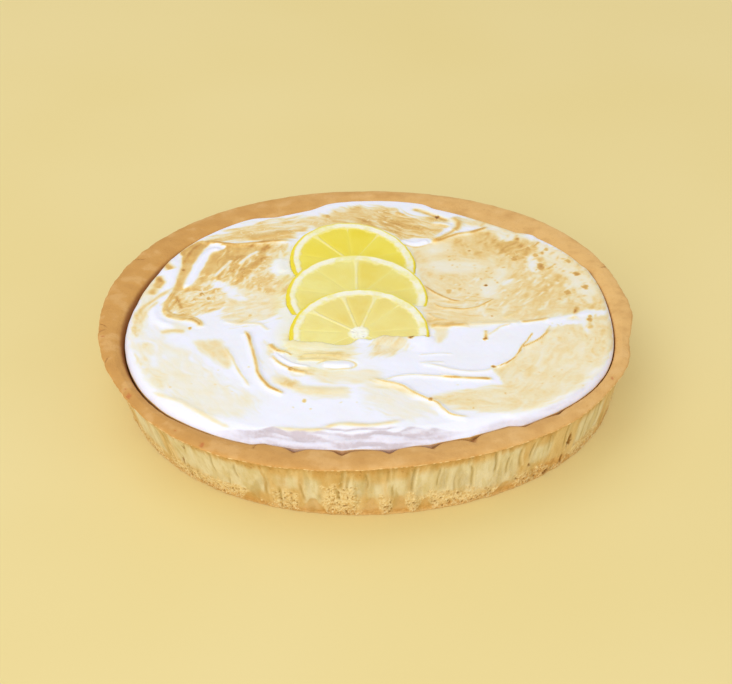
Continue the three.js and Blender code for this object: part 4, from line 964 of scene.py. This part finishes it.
for _, _, _, brown, band, *path in STROKES:
    near, away, side, length = near_stroke(path, x + 0.3 * blur_x, seen_y + 0.3 * blur_y, 3 * band)
    fade = np.clip(9 * length, 0, 1) * np.clip(9 * (1 - length), 0, 1)
    cover = bell(away, band) * fade * (1 + 0.45 * dough_noise(x[near], seen_y[near], 50, 4))
    if brown > 0:
        toast[near] = np.maximum(toast[near], mixed(toast[near], brown, np.clip(cover, 0, 1)))
    else:
        toast[near] = toast[near] * (1 + brown * np.clip(cover * 1.3, 0, 1))
for cx, cy, size, brown in SPOTS:
    near = np.flatnonzero((np.abs(x - cx) < 5) & (np.abs(seen_y - cy) < 6))
    away = np.hypot(x[near] - cx + 0.4 * blur_x[near], 0.7 * (seen_y[near] - cy + 0.4 * blur_y[near])) / size
    away = away + 0.45 * dough_noise(x[near], seen_y[near], cx, 1.4)
    toast[near] = np.maximum(toast[near], (brown + 0.04) * eased(away, 1.5, 0.5))
toast = np.clip(toast + 0.11 * torn * (1 - toast), 0, 1)

# Rough torn texture where it is toasted and streaky, and on the broken side at the front, whose face and
# crevices are painted lilac-grey as shade.
torn = torn * eased(toast, 0.18, 0.34)
inward = edge_radius - np.hypot(x, y)
arc = 100 * turn
folds = dough_noise(arc, 4.2 * inward, 3, 14) + 0.5 * dough_noise(arc + 1.8 * inward, 4.4 * inward, 9, 6.5)
folds = folds + 0.12 * dough_noise(arc, 1.4 * inward, 5, 1.3)
face_share = eased(np.abs(away_from(turn, 265)), 31, 17)
right_share = eased(np.abs(away_from(turn, 313)), 24, 12) * (1 - face_share)
crest = 1.5 + 6.5 * face_share + 1.8 * dough_noise(arc, 0, 17, 7) * face_share + 1.8 * right_share
broken = eased(inward, crest + 0.5, crest - 0.5 - 1.6 * right_share)
broken = broken * (0.12 * eased(front_side, 0.0, 0.4) + 0.88 * face_share + 0.4 * right_share)
lower_face = eased(np.abs(away_from(turn, 268)), 11, 7)
crevice = bell(inward - 10 - 0.8 * dough_noise(arc, 0, 41, 6), 0.5) * lower_face
slope = np.maximum(broken * (0.4 + 0.68 * eased(folds, -0.42, 0.3)), 1.1 * crevice)
level = level + 0.1 * torn * dough_noise(x, y, 5, 1.5) - (0.5 * folds * broken + 0.4 * crevice) * front_side
# A painted brown shadow line along the very edge, where it meets the crust.
toast = np.maximum(toast, 0.72 * eased(outward, 0.978, 0.996))
slope = slope * (1 - np.clip(toast, 0, 1)) ** 0.5

# The flap of meringue over the lower part of the front slice, whose edge follows this line.
FLAP = [
    -36, -22, -31, -24.4, -25, -25.8, -17, -26.8, -12, -28.4, -8, -29.4, -5, -27.8, -2, -24.8, 2, -25.6, 5,
    -24.6, 8, -22.8, 13, -23.6, 20, -23.8, 28, -22.8,
]
flap_x, flap_y = drawn(FLAP).T
front = SLICES["front"]
covered = np.interp(x, flap_x, flap_y) + 0.35 * dough_noise(x, y, 12, 1.6) - y
face = SLICE_LEVEL + (y - front.y) * math.tan(SLICE_TILT)
beyond = np.maximum(0, np.abs(x - front.x) - 27)
flap = face + 0.55 * (1 - np.exp(-covered / 1.3)) + 0.12 * dough_noise(x, y, 20, 3) - 0.12 * beyond**1.5
level = np.where((covered > 0) & (beyond < 9), np.maximum(level, flap), level)
inside = np.hypot(x - front.x, (y - front.y) / math.cos(SLICE_TILT)) < front.radius + 0.5
level = np.where((covered <= 0) & inside, np.minimum(level, face - 0.5), level)

# The room of the slices: under a slice the surface lies below it, except where it laps over it. Beside
# them it is tinted pale yellow, most on their left side.
highest = -1e9
lowest = 1e9
glow = 0
for cut in SLICES.values():
    dx = x - cut.x
    dy = (y - cut.y) / math.cos(SLICE_TILT)
    inside = np.hypot(dx, dy) < slice_radius(cut, np.arctan2(dy, dx)) - 0.35
    face = SLICE_LEVEL + (y - cut.y) * math.tan(SLICE_TILT)
    highest = np.where(inside, np.maximum(highest, face), highest)
    lowest = np.where(inside, np.minimum(lowest, face - SLICE_THICKNESS / math.cos(SLICE_TILT)), lowest)
    away = np.hypot(dx + 3, y - cut.y) - cut.radius
    glow = np.maximum(glow, eased(away, 5, 0) * facing(np.arctan2(y - cut.y, dx), 200))
level = np.where(level < highest + 0.02, np.minimum(level, lowest - 0.3), level)

# Below the edge the layer goes straight down to its flat underside.
outer_count = counts[-1]
outer_turn = turn[-outer_count:]
foot_radius = mouth_wall(outer_turn, UNDERSIDE) - 0.3
x = np.concatenate([x, foot_radius * np.cos(outer_turn), [0]])
y = np.concatenate([y, foot_radius * np.sin(outer_turn), [0]])
level = np.append(level, np.full(outer_count + 1, UNDERSIDE))
marks = {}
# Below the edge the toast mark is 0.8, painting the edge's side brown as shadow.
top_marks = [("toast", toast, 0.8), ("slope", slope, 0), ("torn", torn, 0), ("glow", glow, 0)]
for name, values, below in top_marks:
    marks[name] = np.append(values, np.full(outer_count + 1, below))


def ring_corner(ring, i):
    """Number of a corner of a ring of 6 * ring corners, counted on past its end too."""
    return 1 + 3 * ring * (ring - 1) + i % (6 * ring) if ring else 0


faces = []
for ring in range(1, MERINGUE_RINGS + 1):
    for sector in range(6):
        for i in range(ring):
            outer = ring_corner(ring, sector * ring + i)
            outer_next = ring_corner(ring, sector * ring + i + 1)
            inner = ring_corner(ring - 1, sector * (ring - 1) + i)
            faces.append((inner, outer, outer_next))
            if i < ring - 1:
                faces.append((inner, outer_next, ring_corner(ring - 1, sector * (ring - 1) + i + 1)))
top = ring_corner(MERINGUE_RINGS, 0)
foot = top + outer_count
for i in range(outer_count):
    after = (i + 1) % outer_count
    faces.append((top + i, foot + i, foot + after, top + after))
    faces.append((foot + outer_count, foot + after, foot + i))

whipped, shader, place = finish_of(
    "meringue",
    Subsurface_Weight=0.25,
    Subsurface_Radius=(1.0, 0.8, 0.6),
    Subsurface_Scale=0.002,
    Specular_IOR_Level=0.35,
)
mark = place.mark
mottle = place.lumps(0.0026, 4, 0.6)
fine = place.lumps(0.0006, 3, 0.65)
cloud = place.lumps(0.011)
marbling = {"Vector": place, "Scale": 260, "Detail": 4, "Distortion": 1.2}
marbled = place.node("ShaderNodeTexNoise", {}, marbling)
browning_and_edge_shadow = mark("toast")
rough = mark("torn").between(0.1, 0.8) * 0.2 + 0.1
browning_and_edge_shadow = browning_and_edge_shadow + (marbled - 0.5) * browning_and_edge_shadow.between(0.08, 0.34) * rough + (fine - 0.5) * browning_and_edge_shadow * 0.12
browning_and_edge_shadow = browning_and_edge_shadow + (cloud - 0.5) * browning_and_edge_shadow.between(0.08, 0.34) * 0.28
browning_and_edge_shadow = browning_and_edge_shadow * (1 - marbled.between(0.56, 0.68) * mark("torn").between(0.4, 1.0) * 0.4)
stops = [
    (0.0, (247, 246, 255)),
    (0.1, (243, 241, 236)),
    (0.2, (244, 236, 210)),
    (0.3, (244, 229, 186)),
    (0.4, (242, 218, 159)),
    (0.5, (237, 203, 130)),
    (0.6, (228, 184, 102)),
    (0.72, (208, 156, 78)),
    (0.86, (174, 118, 54)),
    (1.0, (116, 72, 30)),
]
browned_and_shaded = browning_and_edge_shadow.node("ShaderNodeValToRGB", {"stops": stops}, {"Fac": browning_and_edge_shadow})
browned_and_shaded = layered(
    browned_and_shaded,
    (mark("glow") * 0.35, (246, 240, 170)),
    # Painted lilac-grey shade on the broken front side and its crevices.
    (mark("slope") * (mottle.between(0.35, 0.6) * 0.3 + 0.8), (211, 197, 197)),
)
feed(
    shader,
    Base_Color=browned_and_shaded,
    Roughness=browning_and_edge_shadow * 0.15 + 0.5,
    Normal=(fine * 0.5 + mottle * browning_and_edge_shadow.between(0.1, 0.5)).bumped(0.00022, 0.5),
)
meringue = shaped("meringue_layer", x, y, level, faces, whipped, marks)
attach(meringue, "root")
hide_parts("meringue")

# ---- Lemon slices ----
# Three whole rounds cut across a lemon, laid like roof tiles with the back edge of each up. Each has
# a thin bright rind, a cream pith, and juicy segments between pale membranes that meet at the core.
SLICE_COLUMNS = 420
CORE_RADIUS = 3.7
PITH_WIDTH = 2.6
RIND_WIDTH = 0.8
EDGE_ROUNDING = 0.6
MEMBRANE_WIDTH = 0.45
PULP_DEPTH = 0.35
# Directions of the membranes, and how plainly each shows through the juice.
MEMBRANES = {
    "front": [5, 47, 73, 105, 143, 175, 211, 250, 290, 328],
    "middle": [12, 50, 90, 132, 168, 205, 243, 281, 318, 345],
    "back": [20, 60, 95, 130, 164, 202, 240, 275, 313, 347],
}
PLAIN = {
    "front": [0.1, 0.45, 1, 1, 1, 0.2, 0.6, 0.8, 0.5, 0.7],
    "middle": [0.1, 0.2, 1, 0.2, 0.1, 0.5, 0.8, 0.6, 0.5, 0.6],
    "back": [0.15, 0.6, 0.4, 1, 0.2, 0.6, 0.5, 0.8, 0.6, 0.5],
}
# How pale each segment is, from its membrane above to the next, and the flesh's deep and light colour.
PALE = {
    "front": [0.55, 0.3, 0.0, 0.2, 0.8, 0.9, 0.7, 0.6, 0.5, 0.6],
    "middle": [0.5, 0.1, 0.75, 0.85, 0.7, 0.6, 0.5, 0.6, 0.5, 0.6],
    "back": [0.5, 0.1, 0.2, 0.6, 0.8, 0.6, 0.5, 0.6, 0.5, 0.6],
}
FLESH = {
    "front": ((234, 208, 98), (242, 230, 144)),
    "middle": ((235, 211, 80), (240, 229, 138)),
    "back": ((238, 214, 40), (242, 226, 90)),
}

turn = np.linspace(0, 2 * np.pi, SLICE_COLUMNS, endpoint=False)
for name, cut in SLICES.items():
    seed = 10.0 * len(name)
    edge = slice_radius(cut, turn) + 0.3 * ring_noise(turn, 28, 5 * len(name), 3) - 0.15
    rind_wide = RIND_WIDTH + 0.8 * facing(turn, 190) + 0.2 * ring_noise(turn, 28, 40, 4)
    # Its rings as radius and height, from the underside round the edge and over the cut face.
    rows = [(edge * 0.6, -SLICE_THICKNESS)]
    for drop in np.linspace(0, math.pi / 2, 4):
        low = -SLICE_THICKNESS + EDGE_ROUNDING - EDGE_ROUNDING * math.cos(drop)
        rows.append((edge - EDGE_ROUNDING + EDGE_ROUNDING * math.sin(drop), low))
    rows += [(edge, height) for height in np.linspace(-SLICE_THICKNESS + 1.2, -1.0, 5)]
    for rise in np.linspace(0, math.pi / 2, 6):
        high = -EDGE_ROUNDING + EDGE_ROUNDING * math.sin(rise)
        rows.append((edge - rind_wide * (1 - math.cos(rise)), high))
    on_face = np.arange(len(rows) + 61)[:, None] >= len(rows)
    rows += [((edge - rind_wide) * (1 - inward), 0) for inward in np.linspace(0.02, 1, 62)[:-1]]
    out, height = zip(*rows)
    out = np.array(out)
    height = np.array(height)[:, None] + 0 * turn

    # How deep each place lies inside its segment's pulp, and where along and across the segment.
    lines = np.radians(MEMBRANES[name])
    lines = np.append(lines, lines[0] + 2 * np.pi)
    wrapped = lines[0] + (turn - lines[0]) % (2 * np.pi)
    segment = np.clip(np.searchsorted(lines, wrapped, side="right") - 1, 0, len(lines) - 2)
    start = lines[segment]
    end = lines[segment + 1]
    plain = np.array(PLAIN[name] + PLAIN[name][:1])
    flare = 1.2 * np.exp(-np.maximum(0, edge - RIND_WIDTH - 1.2 * PITH_WIDTH - out) / 1.8)
    from_start = out * np.sin(np.clip(wrapped - start, 0, np.pi / 2)) + 1.2 * (1 - plain[segment]) - flare
    from_end = out * np.sin(np.clip(end - wrapped, 0, np.pi / 2)) + 1.2 * (1 - plain[segment + 1]) - flare
    pith = PITH_WIDTH * (1.25 + 0.4 * ring_noise(turn, 28, len(name), 6))
    pith = pith + 0.9 * ring_noise(turn, 28, len(name), 2.6) + 0.4 * ring_noise(turn, 28, len(name), 1.1)
    from_core = out - CORE_RADIUS + 0.5 * plain[segment] - 0.3
    sides = [from_start, from_end, edge - RIND_WIDTH - pith - out, from_core]
    depth = sum((np.maximum(side - 0.5 * MEMBRANE_WIDTH, 0.0) + 1e-3) ** -2.0 for side in sides) ** -0.5
    along = out * np.cos(wrapped - (start + end) / 2)
    across = out * np.sin(wrapped - (start + end) / 2)

    pulp = eased(depth, 0.02, 0.6) * on_face
    vesicles = dough_noise(along / 3.4, across, seed + segment, 1.15)
    vesicles = vesicles + 0.4 * dough_noise(along / 2.2, across, seed + 5 + segment, 0.6)
    bulge = 0.3 * (1 - np.exp(-depth / 1.6))
    height = height + pulp * (-PULP_DEPTH + bulge + 0.012 * vesicles)
    x = out * np.cos(turn)
    y = out * np.sin(turn)
    core = eased(out, CORE_RADIUS + 0.4, CORE_RADIUS - 0.8) * on_face
    between_pulp = eased(edge - RIND_WIDTH - PITH_WIDTH - out, 0.0, 1.0)
    between_pulp = between_pulp * eased(out, CORE_RADIUS, CORE_RADIUS + 1.5)
    soft = dough_noise(x, y, height + seed, 1.4)
    height = height + (0.04 + 0.2 * core) * soft * on_face * (1 - pulp)
    # The core's small hollows, painted dark olive as shade.
    hollow = core * eased(crumb_noise(x, y, seed, 2.2), 0.2, 0.08)
    height = height - 0.5 * hollow
    skin = (edge - out < 0.5) & (height < -0.05)
    out = out - 0.12 * eased(crumb_noise(x, y, height, 1.0), 0.35, 0.1) * skin
    marks = dict(
        pulp=capped(pulp, 0.6),
        rind=capped(eased(out, edge - rind_wide - 0.5, edge - rind_wide + 0.1)),
        # Painted highlight: the rind is lighter along the slice's back edge.
        top=capped(facing(turn, 85) + 0 * out),
        vesicle=capped(0.5 + 0.5 * vesicles, 0.5, 0.5),
        depth=capped(np.clip(depth / 4, 0, 1) * on_face),
        membrane=capped((1 - pulp) * between_pulp * on_face),
        pale=capped(np.array(PALE[name])[segment] + 0 * out, 0.5, 0.5),
        core=capped(core, 0, 1),
        hollow=capped(hollow),
    )

    flesh, shader, place = finish_of(
        "lemon_" + name,
        Subsurface_Weight=0.3,
        Subsurface_Radius=(1.0, 0.85, 0.3),
        Subsurface_Scale=0.0025,
        Specular_IOR_Level=0.45,
    )
    mark = place.mark
    fine = place.lumps(0.0005, 2)
    deep, light = FLESH[name]
    clear = mark("pale") * 0.7 + place.lumps(0.011, 2).between(0.35, 0.65) * 0.3 + mark("vesicle") * 0.06
    juicy = layered(clear.tint(deep, light), ((1 - mark("depth").between(0.0, 0.6)) * 0.5, light))
    pith = layered(
        place.lumps(0.005).between(0.42, 0.7).tint((246, 241, 212), (242, 233, 158)),
        (mark("core") * 0.7, (247, 245, 232)),
    )
    zest = layered(
        fine.between(0.35, 0.65).tint((240, 222, 30), (236, 208, 18)),
        # Painted highlight on the rind along the back edge.
        (mark("top") * 0.5, (250, 240, 120)),
    )
    feed(
        shader,
        Base_Color=layered(
            pith,
            (mark("pulp") + mark("membrane") * 0.66, juicy),
            # Painted shade in the core's hollows.
            (mark("hollow") * 0.7, (150, 140, 84)),
            (mark("rind"), zest),
        ),
        Roughness=0.55 - mark("pulp") * 0.27 - mark("rind") * 0.12,
        Normal=(fine * 0.3 + mark("vesicle") * 0.1).bumped(0.0002, 0.5),
    )
    flat_y = capped(out * np.sin(turn))
    flat_z = capped(height, -SLICE_THICKNESS, height[-1].mean())
    x = capped(out * np.cos(turn)) + cut.x
    y = flat_y * math.cos(SLICE_TILT) - flat_z * math.sin(SLICE_TILT) + cut.y
    z = flat_y * math.sin(SLICE_TILT) + flat_z * math.cos(SLICE_TILT) + SLICE_LEVEL
    lemon = shaped("lemon_" + name, x, y, z, ring_faces(len(rows), SLICE_COLUMNS), flesh, marks)
    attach(lemon, "root")
    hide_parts("lemon_slice_" + name)

# ---- Table, light and camera ----
# A plain pale yellow table, a soft light all round with a wide soft lamp above, and a camera that
# looks down on the pie at about 31 degrees. Sizes are in metres here.
TABLE_RADIUS = 4
TABLE_CORNERS = 96
CAMERA_SPOT = (0, -0.7679, 0.4844)
CAMERA_AIM = Vector((0.00073, 0.00047, 0.01577))
CAMERA_ROLL = math.radians(-0.92)
# Name, place, size and power of each lamp.
LAMPS = [
    ("lamp_above", (-0.5, 0.3, 1.5), 1.5, 6.5),
    ("lamp_front", (-0.7, -1.4, 1.15), 1.5, 15),
    ("lamp_low", (-0.2, -1.8, 0.5), 1.2, 4.5),
    ("lamp_right", (1.5, -1.1, 0.8), 1.4, 5),
]

table_mesh = bpy.data.meshes.new("table")
turns = np.linspace(0, 2 * math.pi, TABLE_CORNERS, endpoint=False)
ring = [(TABLE_RADIUS * math.cos(a), TABLE_RADIUS * math.sin(a), 0) for a in turns]
table_mesh.from_pydata(ring, [], [list(range(TABLE_CORNERS))])
table_look = dict(Roughness=0.85, Specular_IOR_Level=0.2, Emission_Strength=0.28)
table_finish, shader, place = finish_of("table", **table_look)
shade = place.lumps(0.25, 2).between(0.3, 0.7)
feed(
    shader,
    Base_Color=shade.tint((206, 188, 130), (204, 185, 124)),
    Emission_Color=shade.tint((238, 218, 152), (236, 215, 144)),
)
table_mesh.materials.append(table_finish)
table = placed("table", table_mesh)

world = bpy.data.worlds.new("studio")
world.use_nodes = True
world.node_tree.nodes["Background"].inputs["Color"].default_value = (0.96, 0.985, 1.07, 1.0)
world.node_tree.nodes["Background"].inputs["Strength"].default_value = 0.54
bpy.context.scene.world = world
for name, spot, size, power in LAMPS:
    lamp = bpy.data.lights.new(name, "AREA")
    lamp.size = size
    lamp.energy = power
    lamp.color = (0.98, 0.985, 1.03)
    holder = placed(name, lamp)
    holder.location = spot
    holder.rotation_euler = (-Vector(spot)).to_track_quat("-Z", "Y").to_euler()

camera = bpy.data.cameras.new("camera")
camera.lens = 102.8
camera.sensor_width = 36
camera.clip_start = 0.05
camera_stand = placed("camera", camera)
camera_stand.location = CAMERA_SPOT
aim = CAMERA_AIM - camera_stand.location
camera_stand.rotation_mode = "QUATERNION"
camera_stand.rotation_quaternion = aim.to_track_quat("-Z", "Y") @ Quaternion((0, 0, 1), CAMERA_ROLL)
bpy.context.scene.camera = camera_stand
bpy.context.scene.view_settings.view_transform = "Standard"
